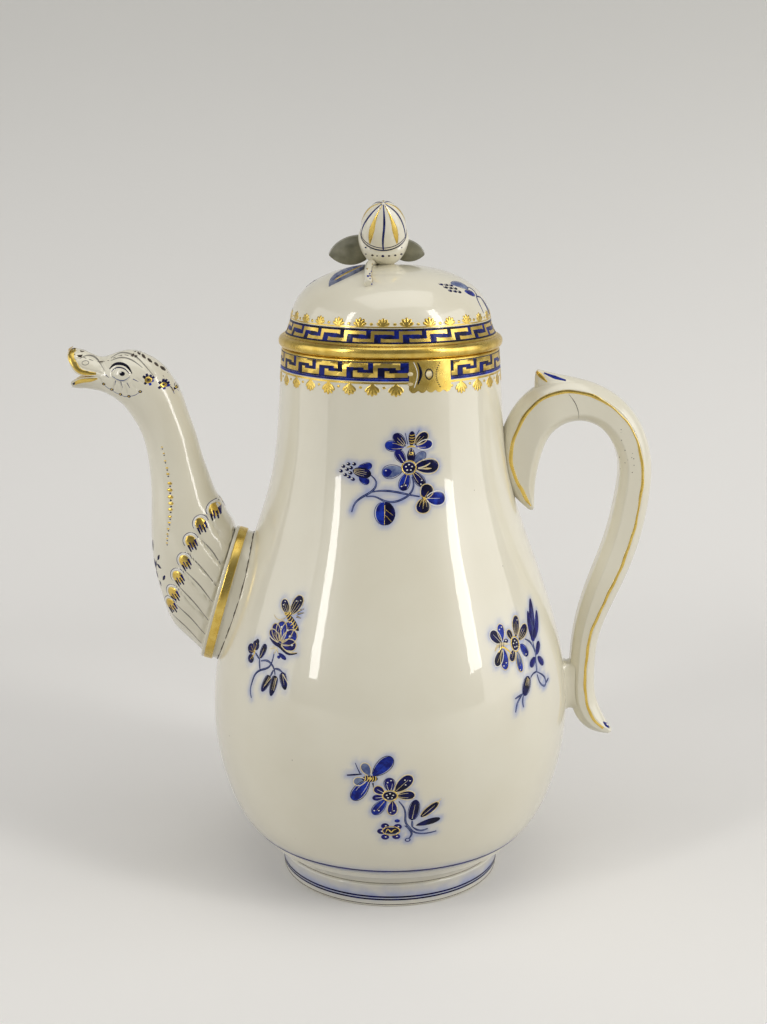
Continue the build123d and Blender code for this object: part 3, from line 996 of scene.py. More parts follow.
def lid_flange():
    low = seat_height - flange_depth
    outline = [
        *arc((flange_radius - 0.8, low + 0.8), 0.8, 0, -90, 6),
        *arc((flange_inner_radius + 0.6, low + 0.6), 0.6, 270, 180, 5),
        (flange_inner_radius, seat_height - 0.05), (flange_radius, seat_height - 0.05),
    ]
    return glazed("lid_flange", turned_mesh(outline, 240, closed=True), rides="lid")


# The knob

bud_turn = math.radians(bud_lean)
bud_axis = np.array([0.0, -math.sin(bud_turn), math.cos(bud_turn)])
bud_right = np.array([1.0, 0.0, 0.0])
bud_up = np.cross(bud_axis, bud_right)


def bud_frame(points):
    """Takes points of the bud's own frame, whose Z runs to the bud's tip, to the pot's frame."""
    points = np.asarray(points, float)
    place = np.array(bud_seat)
    return place + points[:, :1] * bud_right + points[:, 1:2] * bud_up + points[:, 2:3] * bud_axis


def bud_piece(node, outline):
    points, faces = turned_mesh(outline, 96)
    return glazed(node, (bud_frame(points), faces), rides="lid")


def finial_bud():
    return bud_piece("finial_bud", [(0.0, 0.0), *sampled(bud_outline, 40)[:-1].tolist(), bud_outline[-1]])


def finial_calyx():
    cup = [(calyx_radius * math.cos(t), -calyx_lip - calyx_depth * math.sin(t))
           for t in np.linspace(0, math.pi / 2, 24)]
    brim = [(0.0, 0.0), (bud_outline[0][0], 0.0), (calyx_radius - 0.2, -0.5)]
    outline = [*brim, *cup[:-1], (0.0, cup[-1][1])]
    return bud_piece("finial_calyx", outline)


# The relief and the paint on the bird, the handle, the collar and the knob

# Each feather of the sleeve, from its root to its tip, and the seams between them
feathers = [
    ((-55.5, 125.5), (-61.2, 135.4)), ((-57.8, 120.5), (-65.6, 131.4)), ((-59.9, 113.7), (-68.9, 125.6)),
    ((-61.3, 107.3), (-71.2, 118.8)), ((-62.7, 100.8), (-73.8, 113.0)), ((-64.3, 94.4), (-75.8, 106.7)),
    ((-66.0, 89.4), (-77.0, 102.0)),
]
feather_seams = [
    ((-66.6, 127.2), (-59.1, 117.3)), ((-71.4, 122.4), (-60.7, 110.2)), ((-72.6, 116.9), (-61.9, 104.3)),
    ((-75.0, 111.0), (-63.5, 97.2)), ((-76.3, 103.9), (-65.1, 91.5)), ((-78.2, 99.4), (-67.0, 87.3)),
]
feather_half = 2.75
feather_rise = 0.75
eye = (-91.9, 183.2)
eye_radius = 2.5
eye_rise = 0.55
# Grooves of the head: their line, their depth and their spread
grooves = [
    ([(-108.3, 187.7), (-107.1, 188.9), (-104.8, 189.5), (-102.0, 188.9), (-99.8, 187.2), (-98.0, 184.2)],
     0.34, 0.42),
    ([(-108.0, 186.6), (-105.8, 184.9), (-102.7, 184.0), (-99.4, 183.2)], 0.30, 0.40),
    ([(-96.6, 188.3), (-93.9, 189.9), (-91.1, 190.3), (-87.7, 189.2), (-84.4, 186.3), (-81.1, 182.6)],
     0.36, 0.45),
    ([(-96.3, 187.6), (-93.4, 188.7), (-91.1, 188.8), (-87.8, 187.7), (-85.0, 185.8), (-83.0, 184.0)],
     0.22, 0.40),
    ([(-101.1, 182.2), (-99.4, 180.9), (-98.8, 179.4)], 0.34, 0.40),
    ([(-92.6, 180.3), (-92.1, 177.7)], 0.26, 0.36), ([(-90.9, 179.4), (-90.2, 176.8)], 0.26, 0.36),
    ([(-88.6, 180.0), (-87.3, 178.3)], 0.26, 0.36), ([(-94.6, 180.2), (-95.0, 178.0)], 0.24, 0.36),
    ([(-86.6, 181.6), (-84.9, 180.4)], 0.24, 0.36),
]


def away_from(x, z, line):
    """How far points of the side view are from a line through a few points."""
    nearest = np.full(x.shape, 1e9)
    for (ax, az), (bx, bz) in zip(line, line[1:]):
        run = np.array([bx - ax, bz - az])
        share = np.clip(((x - ax) * run[0] + (z - az) * run[1]) / max(run @ run, 1e-9), 0, 1)
        nearest = np.minimum(nearest, np.hypot(x - ax - share * run[0], z - az - share * run[1]))
    return nearest


def feather_line(base, tip, count=7):
    """The middle of a feather, which bows a little towards the breast."""
    base, tip = np.array(base), np.array(tip)
    aside = np.array([base[1] - tip[1], tip[0] - base[0]]) / np.linalg.norm(tip - base)
    return sampled([base, (base + tip) / 2 + aside * 0.6, tip], count)


def bird_relief(x, z, side):
    """How far the bird's skin is raised or sunk, from its side view. It fades out at the middle."""
    shown = smoothstep(0.12, 0.5, side)
    raised = np.zeros(x.shape)
    for base, tip in feathers:
        away = away_from(x, z, feather_line(base, tip))
        raised = np.maximum(raised, feather_rise * np.sqrt(np.maximum(1 - (away / feather_half) ** 4, 0)))
    for line, depth, spread in grooves:
        raised -= depth * np.exp(-(away_from(x, z, line) / spread) ** 2)
    away = np.hypot((x - eye[0]) / 1.15, z - eye[1])
    raised += eye_rise * np.sqrt(np.maximum(1 - (away / eye_radius) ** 2, 0))
    raised -= 0.16 * np.exp(-((away - eye_radius - 0.2) / 0.4) ** 2)
    return raised * shown


def bird():
    shares = np.concatenate([
        np.linspace(0, 0.05, 20, endpoint=False), np.linspace(0.05, 0.45, 150, endpoint=False),
        np.linspace(0.45, 0.68, 40, endpoint=False), np.linspace(0.68, 1.0, 150),
    ])
    share, phi = np.meshgrid(shares, turns_round(228), indexing="ij")
    rings = spout_base(share, phi)
    middles = rings.mean(axis=1, keepdims=True)
    along = np.gradient(rings, axis=0)
    round_it = np.roll(rings, -1, axis=1) - np.roll(rings, 1, axis=1)
    normal = np.cross(round_it, along)
    normal /= np.maximum(np.linalg.norm(normal, axis=2), 1e-9)[..., None]
    outward = np.sign((normal * (rings - middles)).sum(axis=2))[..., None]
    raised = bird_relief(rings[..., 0], rings[..., 2], np.abs(np.sin(phi)))
    raised *= smoothstep(0.0, 0.02, share) * smoothstep(1.0, 0.985, share)
    rings = rings + normal * outward * raised[..., None]
    tip = rings[-1]
    middle = tip.mean(axis=0)
    round_tip = [middle + (tip - middle) * grow + np.array([-ahead, 0, 0])
                 for grow, ahead in ((0.93, 0.35), (0.80, 0.6), (0.55, 0.75), (0.2, 0.8))]
    points, faces = capped_rings(np.concatenate([rings, np.array(round_tip)]))
    nodes = ["spout_neck", "bird_head", "feather_sleeve"]
    return add_piece("bird_spout_glazed", points, faces, plain_glaze, "pot", "glaze", nodes, sharp=40.0)


def tree_of(piece):
    """A piece's faces, in millimetres, ready for paint to be thrown on them."""
    points = [corner.co / MM for corner in piece.data.vertices]
    return BVHTree.FromPolygons(points, [face.vertices[:] for face in piece.data.polygons])


def thrown(tree, start_of, ahead, reach):
    """A drawing board whose points are thrown onto a piece, or go to its nearest spot."""
    def on(drawing, lift):
        placed = []
        for x, y in drawing:
            start = start_of(x, y)
            spot, normal, _, _ = tree.ray_cast(start, ahead)
            if spot is None:
                spot, normal, _, _ = tree.find_nearest(start + ahead * reach)
            placed.append(spot + normal * lift)
        return np.array(placed)

    return on


def facing(tree, azimuth, flip=1.0):
    """A drawing board that stands in front of a piece: x to the right, y the height."""
    turn = math.radians(azimuth)
    right = Vector((math.cos(turn), math.sin(turn), 0)) * flip
    ahead = Vector((-math.sin(turn), math.cos(turn), 0))
    return thrown(tree, lambda x, z: right * x + Vector((0, 0, z)) - ahead * 400, ahead, 394)


def both_sides(tree):
    """The boards in front of a piece and behind it, which mirror each other."""
    return facing(tree, 0), facing(tree, 180, -1.0)


def feather_paint(on):
    for (left, high), (right, low) in feather_seams:
        bow = ((left + right) / 2 + 0.5, (high + low) / 2 + 0.4)
        stroke(on, [(left + 1.2, high - 1.4), bow, (right, low)], [0.3, 0.65, 0.55, 0.3], "shade")
    for base, tip in feathers:
        line = feather_line(base, tip, 24)
        run = line[-1] - line[-2]
        run = run / np.linalg.norm(run)
        side = np.array([-run[1], run[0]])
        middle = line[-1] + 0.35 * run + 0.25 * side
        steps = round_steps(16) * 4.3 - 2.3
        half = np.where(steps > 0, np.sqrt(np.maximum(4.0 - steps**2, 0.01)), 2.0)
        half = half * smoothstep(-2.9, -1.2, steps)
        ribbon(on, middle + steps[:, None] * run, np.maximum(half, 0.15), "gold")
        turns = np.radians(np.linspace(-100, 100, 18))[:, None]
        for radius, width, ink in ((2.4, 0.28, "white"), (2.75, 0.14, "line")):
            ribbon(on, middle + radius * (np.cos(turns) * run + np.sin(turns) * side), width, ink)
        for number, offset in enumerate((-1.5, -0.5, 0.5, 1.4)):
            start = middle - run * (0.2 + 0.6 * (number % 2)) + side * offset
            end = start - run * (2.9 - 0.3 * abs(offset)) + side * 0.2
            stroke(on, [start, end], [1.1, 0.5], "dark" if number % 2 else "deep", over=0.06)


def bead_chain(on):
    """Gold beads down the breast, the largest in the middle of the row."""
    beads = [
        (-79.0, 157.8), (-78.4, 155.6), (-78.0, 153.0), (-77.4, 150.6), (-77.1, 148.5), (-76.5, 145.3),
        (-76.5, 143.0), (-76.3, 140.6), (-76.2, 138.4), (-76.4, 136.3), (-76.6, 133.8), (-76.9, 131.7),
        (-77.3, 129.5), (-77.6, 127.6), (-77.8, 126.0), (-77.9, 124.4),
    ]
    for x, z in beads:
        size = 0.28 + 0.50 * math.exp(-((z - 140.6) / 8.0) ** 2)
        dot(on, (x, z), size, "gold", stretch=1.3)
        dot(on, (x + 0.1, z - size - 0.35), 0.2 + 0.2 * size, "dark")


def dashes(on, places, run, widths, ink):
    """Short strokes that each run the same way."""
    for x, z in places:
        stroke(on, [(x, z), (x + run[0], z + run[1])], widths, ink)


def eye_paint(on):
    stroke(on, [(-96.4, 184.7), (-94.9, 186.1), (-92.4, 186.6), (-90.2, 185.8), (-88.4, 183.4)],
           [0.35, 1.15, 1.25, 1.0, 0.3], "black")
    stroke(on, [(-95.7, 183.9), (-94.4, 185.0), (-92.4, 185.4), (-90.6, 184.8), (-89.2, 183.3)],
           [0.2, 0.45, 0.45, 0.2], "dark")
    stroke(on, [(-95.4, 182.4), (-93.4, 181.3), (-91.0, 181.2), (-89.2, 182.4)], [0.15, 0.5, 0.5, 0.15],
           "grey")
    glinting(on, (-91.7, 183.4), 0.95, "black", (-0.5, 0.4), 0.26, over=0.05)


def bill_paint(on):
    stroke(on, [(-108.4, 191.1), (-109.6, 190.4), (-109.9, 189.2), (-109.6, 187.7), (-108.6, 186.2),
                (-107.1, 184.2), (-105.0, 183.3), (-101.2, 183.0)],
           [1.3, 2.3, 2.4, 2.2, 2.0, 1.8, 1.5, 0.8], "gold")
    stroke(on, [(-100.8, 181.3), (-103.7, 180.7), (-106.6, 180.3), (-108.2, 179.7), (-109.2, 179.1)],
           [0.6, 1.6, 1.9, 1.8, 1.2], "gold")
    stroke(on, [(-108.9, 179.7), (-109.6, 179.0)], [0.5, 0.9], "dark", over=0.1)
    ridge_dashes = [(-107.2, 190.4), (-105.0, 190.3), (-102.8, 190.0), (-100.6, 189.8), (-98.4, 189.7)]
    dashes(on, ridge_dashes, (1.3, -0.3), [0.4, 0.85, 0.3], "brown")
    for line in (
        [(-106.9, 187.9), (-105.0, 188.8), (-102.0, 188.1), (-100.0, 186.4), (-98.2, 184.0)],
        [(-96.4, 188.0), (-93.9, 189.5), (-91.1, 189.8), (-87.7, 188.7), (-84.4, 185.9), (-81.3, 182.4)],
        [(-96.2, 187.3), (-93.4, 188.3), (-91.1, 188.4), (-87.8, 187.2), (-85.0, 185.2)],
    ):
        stroke(on, line, [0.2, 0.5, 0.45, 0.2], "shade")
    loop(on, (-104.9, 186.6), (1.1, 0.7), 0.3, "shade")


def nape_paint(on):
    """A row of dashes over the head, and three small flowers behind the eye."""
    crest = [
        (-97.0, 191.0), (-94.5, 191.7), (-91.8, 191.6), (-89.1, 190.9), (-87.5, 190.2), (-85.8, 189.2),
        (-83.7, 187.9), (-81.4, 186.5), (-79.5, 185.1), (-77.1, 183.2),
    ]
    for at, after in zip(crest, [*crest[1:], crest[-1]]):
        end = (at[0] + 0.55 * (after[0] - at[0]) + 0.3, at[1] + 0.55 * (after[1] - at[1]) - 0.5)
        stroke(on, [at, end], [0.4, 0.9, 0.3], "brown")
    for at, size in (((-82.9, 181.2), 1.25), ((-78.1, 179.2), 1.1), ((-73.8, 178.0), 0.85)):
        for turn in (-75, -20, 20, 55, 100, 140, 215):
            turn = math.radians(turn + rng.uniform(-12, 12))
            way = np.array([math.cos(turn), math.sin(turn)])
            start = np.array(at) + way * (size - 0.2)
            end = start + way * rng.uniform(0.5, 1.2)
            stroke(on, [start, end], [1.3, 0.9], "dark" if turn > 0 else "mid")
        dot(on, at, size, "gold")
        dot(on, at, size * 0.4, "dark", over=0.06)


def jaw_paint(on):
    jaw = [(-98.7, 179.4), (-95.9, 177.6), (-92.9, 176.0), (-89.8, 175.5), (-85.7, 177.3)]
    for at, after in zip(jaw, jaw[1:]):
        middle = ((at[0] + after[0]) / 2, (at[1] + after[1]) / 2 - 0.45)
        stroke(on, [at, middle, after], [0.16, 0.3, 0.16], "grey")
    for at in jaw:
        dot(on, at, 0.62, "dark")
        dot(on, at, 0.28, "gold", over=0.04)
    for line in (
        [(-92.4, 180.6), (-91.8, 178.4)], [(-90.2, 180.3), (-89.2, 178.5)], [(-94.2, 180.9), (-94.6, 179.2)],
        [(-88.0, 181.6), (-86.2, 180.7)], [(-97.8, 182.8), (-96.6, 181.8)],
    ):
        stroke(on, line, [0.4, 0.12], "line")


def mouth_lining(tree):
    """The gold inside the open bill."""
    front, back = both_sides(tree)
    for line, way in ((upper_lip[:7], -1.0), (lower_lip[:5], 1.0)):
        line = sampled(line, 26)
        run = np.gradient(line, axis=0)
        out = np.stack([run[:, 1], -run[:, 0]], axis=1) / np.linalg.norm(run, axis=1)[:, None] * way
        inside = line - out * 0.5
        near = np.minimum(front(inside, 0.0)[:, 1] + 0.25, -0.1)
        far = np.maximum(back(inside, 0.0)[:, 1] - 0.25, 0.1)
        rings = []
        for (x, z), (a, b), low, high in zip(line, out, near, far):
            sides = np.linspace(low, high, 7)
            ring = [(x + a * 0.06, y, z + b * 0.06) for y in sides]
            rings.append(ring + [(x - a * 0.15, y, z - b * 0.15) for y in sides[::-1]])
        lay("pot", "gold", *capped_rings(rings))


def breast_paint(on):
    """Small dark leaves on the breast, seen from in front of it."""
    for points in (
        [(-49.9, 123.8), (-50.2, 119.9)], [(-50.05, 117.1), (-49.6, 115.3), (-48.55, 113.0)],
        [(-47.8, 116.8), (-48.85, 114.1)], [(-47.35, 115.6), (-44.65, 114.5)],
        [(-49.45, 112.6), (-49.0, 110.0)], [(-47.65, 109.3), (-47.2, 107.3)],
        [(-44.95, 119.4), (-46.45, 117.2)], [(-42.85, 112.2), (-44.65, 110.2)],
    ):
        stroke(on, points, [0.5, 1.8, 0.4], "dark")


def bird_paint(tree):
    for on in both_sides(tree):
        feather_paint(on)
        bead_chain(on)
        eye_paint(on)
        bill_paint(on)
        nape_paint(on)
        jaw_paint(on)
    mouth_lining(tree)
    breast_paint(facing(tree, -50))
    breast_paint(facing(tree, 230, -1.0))


def strap_on(side):
    """A drawing board on a flat side of the strap: x is the share of its run, y the place across it
    from the crown's edge."""
    def on(drawing, lift):
        drawing = np.asarray(drawing, float)
        rows = handle_curve(drawing[:, 0])
        run = rows[:, 4:6] / np.linalg.norm(rows[:, 4:6], axis=1)[:, None]
        crown = np.minimum(handle_crown, rows[:, 2] * 0.35)
        out = rows[:, 2] / 2 - crown + drawing[:, 1]
        x = rows[:, 0] - run[:, 1] * out
        z = rows[:, 1] + run[:, 0] * out
        y = side * (rows[:, 3] / 2 - 0.02 + lift)
        return np.stack([x, y, z], axis=1)

    return on


def handle_lines():
    """Gilded lines along both edges of the strap's back, worn where the hand rubs them."""
    section = [(-1.0, -sink), (-0.7, 0.09), (0.0, 0.10), (0.7, 0.09), (1.0, -sink)]
    shares = np.linspace(0.004, 0.985, 440)
    rubbed = np.exp(-((shares - 0.36) / 0.05) ** 2) + 0.5 * np.exp(-((shares - 0.53) / 0.03) ** 2)
    for side in (-1, 1):
        wobble = 0.10 * np.sin(shares * 71) + 0.06 * np.sin(shares * 163 + side)
        half = 0.50 + 0.05 * np.sin(shares * 97 + 2 * side) + 0.12 * (shares < 0.3)
        half = half * smoothstep(0.0, 0.02, shares) + 0.10 - 0.34 * np.clip(rubbed, 0, 1)
        line = np.stack([shares, wobble - 0.75], axis=1)
        reach = np.stack([0 * half, half], axis=1)
        ridge(strap_on(side), line, reach, section, "gold", "pot")


def collar_gilding():
    """The gilded face round the collar's side, and the dark seam behind it."""
    turns = turns_round(240)
    deep = collar_band_depth
    profile = [
        (-0.25, 1.15), (0.07, 1.35), (0.10, 1.9), (0.10, 2.8), (0.10, 3.9), (0.03, deep - 0.42),
        (-0.2, deep - 0.3), (-0.35, 2.6),
    ]
    rows = [[oval_point(t, out, depth) for t in turns] for out, depth in profile]
    lay("pot", "gold", rows, grid_faces(len(rows), len(turns)))
    roots = [collar_root(t, -0.4) for t in turns]
    thick = 0.10 + 0.22 * np.abs(np.sin(9 * turns)) + 0.14 * np.abs(np.sin(23 * turns + 1))
    rows = []
    for share, lift in flat_top(0.06, 0.5, 2):
        depths = np.array(roots) - 0.9 + share * thick
        rows.append([oval_point(t, lift - 0.32, depth) for t, depth in zip(turns, depths)])
    lay("pot", "brown", rows, grid_faces(len(rows), len(turns)))


def mouth_gilding():
    """The gilded lip of the mouth."""
    outer = (mouth_radius - lip_round, mouth_height - lip_round)
    inner = (mouth_radius - body_wall + lip_round, mouth_height - lip_round)
    outline = [
        *arc(outer, 0.76, -12, 90, 8), *arc(inner, 0.76, 90, 192, 8), *arc(inner, 0.5, 150, 90, 3),
        *arc(outer, 0.5, 90, 30, 3),
    ]
    lay("pot", "gold", *turned_mesh(outline, 300, closed=True))


foot_side = Turned([(39.2, 0.8), (39.4, 2.5), (39.65, 4.5), (39.9, 6.5), (40.4, 8.3)])


def foot_lines():
    way = float(body.way_at(19.1))
    ring_bands(body.wrap(50.0), 50.0, "pot", [
        (way + 0.25, way + 0.72, "deep", 0.0), (way - 0.55, way - 0.12, "deep", 0.0),
        (0.5, 0.75, "brown", 0.0),
    ])
    way = float(foot_side.way_at(3.5))
    ring_bands(foot_side.wrap(40.0), 40.0, "pot", [
        (way + 0.15, way + 0.8, "dark", 0.0), (way - 0.9, way - 0.3, "dark", 0.0),
        (0.05, 0.25, "brown", 0.0),
    ])


def add_wash(piece, value_at):
    """Keeps on each corner how much cobalt has bled into the glaze there."""
    count = len(piece.data.vertices)
    places = np.empty(count * 3)
    piece.data.vertices.foreach_get("co", places)
    values = np.clip(value_at(places.reshape(-1, 3) / MM), 0, 1)
    kept = piece.data.attributes.new("wash", "FLOAT", "POINT")
    kept.data.foreach_set("value", values.astype(np.float32))


def sprig_wash(places):
    """Strongest beside the sprigs' strokes and under the thin lines above the foot."""
    painted = KDTree(len(halo_points))
    for number, point in enumerate(halo_points):
        painted.insert(point, number)
    painted.balance()
    away = np.array([painted.find(place)[2] for place in places])
    soft = 0.95 * np.exp(-(away / 1.15) ** 2) + 0.10 * np.exp(-(away / 3.0) ** 2)
    height = places[:, 2]
    low = 0.8 * np.exp(-((height - 19.6) / 1.6) ** 2)
    low += 0.45 * (height < 19) * np.exp(-np.maximum(19 - height, 0) / 6)
    return soft + low * (np.hypot(places[:, 0], places[:, 1]) > 37)


def foot_wash(places):
    """Strongest at the foot's own line, and fading away from it."""
    height = places[:, 2]
    above_line = np.exp(-np.maximum(height - 3.6, 0) / 3.0) * (height > 3.0)
    below_line = 0.7 * np.exp(-np.maximum(3.4 - height, 0) / 1.6) * (height <= 3.0)
    return (1.5 * above_line + 1.2 * below_line) * (np.hypot(places[:, 0], places[:, 1]) > 38.5)


def bud_paint():
    """Five petals' edges and gold streaks, and two lines round the bud's foot."""
    def wrapped(middle):
        def on(drawing, lift):
            drawing = np.asarray(drawing, float)
            radius = np.maximum(np.interp(drawing[:, 1], bud.length, bud.radius), 0.4)
            return bud_frame(bud.place(math.radians(middle) + drawing[:, 0] / radius, drawing[:, 1], lift))

        return on

    reach = bud.length[-1]
    for number in range(5):
        seam = [(0, reach - 0.6), (0.25, reach * 0.55), (-0.15, reach * 0.3), (0, 0.6)]
        stroke(wrapped(72 * number), seam, [0.4, 1.0, 0.95, 0.6], "line", rides="lid")
        streak = [(0, reach - 0.8), *((0, reach * share) for share in (0.7, 0.5, 0.3, 0.14))]
        stroke(wrapped(72 * number + 36), streak, [0.2, 0.4, 1.3, 2.3, 1.9, 0.5], "gold", rides="lid")
    turns = turns_round(80)
    for way, width in ((0.8, 0.85), (1.95, 0.5)):
        rings = [bud_frame(bud.place(turns, np.full(80, way + share * width / 2), lift))
                 for share, lift in flat_top(0.06, 0.6, 2)]
        lay("lid", "dark", np.stack(rings, axis=1), grid_faces(80, len(rings)))


def knob_specks(tree):
    """Rows of small dark specks on the calyx."""
    on = facing(tree, 0)
    for row in range(3):
        for column in range(7):
            x = bud_seat[0] - 6.0 + 2.0 * column + rng.uniform(-0.3, 0.3)
            z = 227.6 - 2.3 * row + 0.05 * (column - 3) ** 2
            dot(on, (x, z), rng.uniform(0.2, 0.5), "dark" if (row + column) % 3 else "brown", rides="lid")


def stem_specks():
    """Specks on the knob's stem."""
    on = facing(tree_of(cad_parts["finial_stem"]), 0)
    low, high = (np.array(corner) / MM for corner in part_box("finial_stem"))
    for number in range(14):
        at = (rng.uniform(low[0] + 0.8, high[0] - 0.8), rng.uniform(low[2] + 0.4, high[2] - 0.6))
        dot(on, at, rng.uniform(0.16, 0.4), "gold" if number % 3 == 0 else "mid", rides="lid")


def leaf_board(node):
    """A board laid on a leaf, with x along it, and half the leaf's length and width."""
    tree = tree_of(node)
    corners = np.array([corner.co[:] for corner in node.data.vertices]) / MM
    centre = (corners.max(axis=0) + corners.min(axis=0)) / 2
    _, _, ways = np.linalg.svd(corners - corners.mean(axis=0), full_matrices=False)
    along = ways[0] * (1 if ways[0][0] > 0 else -1)
    aside = ways[1] * (1 if ways[1][2] + ways[1][1] > 0 else -1)
    out = np.cross(along, aside)
    out = out * (1 if out @ (centre - np.array([0, 0, 215])) > 0 else -1)
    reach = np.abs((corners - centre) @ along).max()
    width = np.abs((corners - centre) @ aside).max()
    on = thrown(tree, lambda x, y: Vector(centre + along * x + aside * y + out * 30), Vector(-out), 30)
    return on, reach, width


def leaf_paint():
    """Veins on the knob's leaves, and a gold streak on the front one."""
    for name in ("finial_leaf_front", "finial_leaf_left", "finial_leaf_right"):
        on, reach, width = leaf_board(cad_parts[name])
        rib = [(-0.8 * reach, 0), (0, 0.05 * width), (0.8 * reach, 0)]
        stroke(on, rib, [0.2, 0.5, 0.2], "line", rides="lid")
        for step in (-0.5, -0.2, 0.1, 0.4):
            for side in (-1, 1):
                end = ((step + 0.22) * reach, side * 0.55 * width)
                stroke(on, [(step * reach, 0), end], [0.3, 0.12], "line", rides="lid")
        if name == "finial_leaf_front":
            streak = [(-0.75 * reach, -0.3 * width), (0, -0.55 * width), (0.75 * reach, -0.3 * width)]
            stroke(on, streak, [0.5, 1.9, 0.5], "gold", rides="lid")


def thumb_paint(crest, strap):
    """Touches on the thumb rest, and the tail, hairline and specks of the strap."""
    for on in both_sides(tree_of(crest)):
        tip = [(50.7, 183.0), (51.6, 182.2), (52.8, 181.0), (54.2, 179.8)]
        stroke(on, tip, [1.2, 1.8, 1.3, 0.5], "gold")
        stroke(on, [(53.2, 182.7), (56.0, 181.6), (60.6, 180.4)], [0.6, 1.4, 0.6], "mid")
    for on in both_sides(tree_of(strap)):
        stroke(on, [(77.7, 55.0), (79.0, 53.6), (80.4, 52.4)], [0.5, 1.4, 0.8], "mid")
        hairline = [(61.4, 176.0), (63.4, 173.4), (64.7, 170.4), (65.2, 167.4)]
        stroke(on, hairline, [0.1, 0.26, 0.2, 0.1], "brown")
        for _ in range(18):
            at = (rng.uniform(79.5, 85.0), rng.uniform(148, 164))
            dot(on, at, rng.uniform(0.08, 0.2), "brown")


# Each ink's slot, with its dark and its bright colour
inks = {
    "dark": ("cobalt_paint", (0.002, 0.002, 0.018), (0.005, 0.006, 0.09)),
    "deep": ("cobalt_paint", (0.005, 0.004, 0.08), (0.012, 0.014, 0.20)),
    "mid": ("cobalt_paint", (0.004, 0.008, 0.15), (0.014, 0.045, 0.42)),
    "grey": ("cobalt_paint", (0.08, 0.11, 0.26), (0.22, 0.27, 0.40)),
    "line": ("cobalt_paint", (0.010, 0.015, 0.09), (0.035, 0.05, 0.20)),
    "ground": ("cobalt_paint", (0.002, 0.003, 0.03), (0.005, 0.016, 0.21)),
    "black": ("cobalt_paint", (0.002, 0.002, 0.008), (0.004, 0.004, 0.02)),
    "brown": ("glaze", (0.035, 0.024, 0.018), (0.10, 0.075, 0.055)),
    "shade": ("glaze", (0.22, 0.21, 0.18), (0.36, 0.34, 0.29)),
    "white": ("glaze", (0.78, 0.77, 0.72), (0.88, 0.86, 0.78)),
    "pale": ("gilding", (0.66, 0.53, 0.28), (0.86, 0.77, 0.52)),
}


def fire_paint():
    """Makes one piece of all the strokes of one ink on one body."""
    for (rides, ink), shape in paint.items():
        if ink == "gold":
            material, slot = gold, "gilding"
        else:
            slot, dark, bright = inks[ink]
            name = f"enamel_{ink}"
            material = bpy.data.materials.get(name) or enamel(name, (*dark, 1.0), (*bright, 1.0))
        add_piece(f"{rides}_{ink}_paint", *shape, material, rides, slot, sharp=70.0)


# The painted bands

def key_unit(on, left, pitch, low, high, width, rides, whole=True, start=True):
    """One unit of the key: a hooked bar above, an upright, and a hooked bar below."""
    hook = (high - low) * 0.44
    above = [(left + 0.70 * pitch, high - hook), (left + 0.70 * pitch, high), (left, high)]
    below = [(left, low), (left - 0.64 * pitch, low), (left - 0.64 * pitch, low + hook)]
    if not start:
        below = [(left, low), (left - 0.16 * pitch, low)]
    fret(on, above + below if whole else below, width, "gold", rides)


def fan(on, at, size, width, lobes, spread, rides, up=1.0):
    """A small palmette: gilded lobes that spread from one root."""
    for lobe in range(lobes):
        share = lobe / (lobes - 1) - 0.5
        turn = math.radians(spread) * share
        reach = size * (1.0 - 0.55 * share * share)
        tip = (at[0] + reach * math.sin(turn), at[1] + up * reach * math.cos(turn))
        petal(on, at, tip, width, "gold", peak=0.68, rides=rides)
    petal(on, (at[0], at[1] - up * 0.2), (at[0], at[1] + up * size * 0.55), width * 1.7, "gold", rides=rides)


def lid_band():
    radius = float(lid.radius_at(199.0))
    on = lid.wrap(radius)
    ring_bands(on, radius, "lid", [
        (1.05, 5.5, "ground", 0.0), (-0.1, 0.72, "gold", 0.0), (0.7, 1.1, "black", 0.0),
        (5.45, 5.85, "black", 0.0), (6.1, 6.55, "gold", 0.0),
    ])
    pitch = full_turn * radius / lid_key_count
    for unit in range(lid_key_count):
        key_unit(on, radius * math.radians(lid_key_start) + unit * pitch, pitch, 1.95, 4.5, 1.3, "lid")
    pitch = full_turn * radius / lid_fan_count
    for number in range(lid_fan_count):
        x = radius * math.radians(lid_fan_start) + number * pitch
        fan(on, (x, 6.5), 2.9 * rng.uniform(0.94, 1.06), 1.4, 5, 122, "lid")
        dot(on, (x + pitch / 2, 7.3), 0.6, "gold", rides="lid")


def pot_band():
    radius = float(body.radius_at(188.0))
    on = body.wrap(radius)
    top = float(body.way_at(mouth_height))
    ring_bands(on, radius, "pot", [
        (top - 6.25, top - 0.95, "ground", 0.0), (top - 0.97, top - 0.72, "black", 0.0),
        (top - 6.95, top - 6.2, "mid", 0.02), (top - 7.85, top - 7.2, "gold", 0.0),
    ], start=math.radians(panel_end), end=math.radians(panel_start + 360))
    pitch = math.radians(pot_key_pitch) * radius
    first = math.radians(pot_key_start) * radius
    for unit in range(pot_key_count + 1):
        key_unit(on, first + unit * pitch, pitch, top - 4.95, top - 1.8, 1.6, "pot",
                 whole=unit < pot_key_count, start=unit > 0)
    pitch = full_turn * radius / pot_fan_count
    for number in range(pot_fan_count):
        turn = pot_fan_start + number * 360 / pot_fan_count
        x = radius * math.radians(turn)
        if (turn - 8) % 360 > 20:
            fan(on, (x, top - 7.9), 3.9 * rng.uniform(0.94, 1.06), 1.6, 5, 84, "pot", up=-1.0)
        if (turn + 180 / pot_fan_count - 8) % 360 > 20:
            dot(on, (x + pitch / 2, top - 9.0), 0.55, "gold", rides="pot")
    panel(on, radius, top)


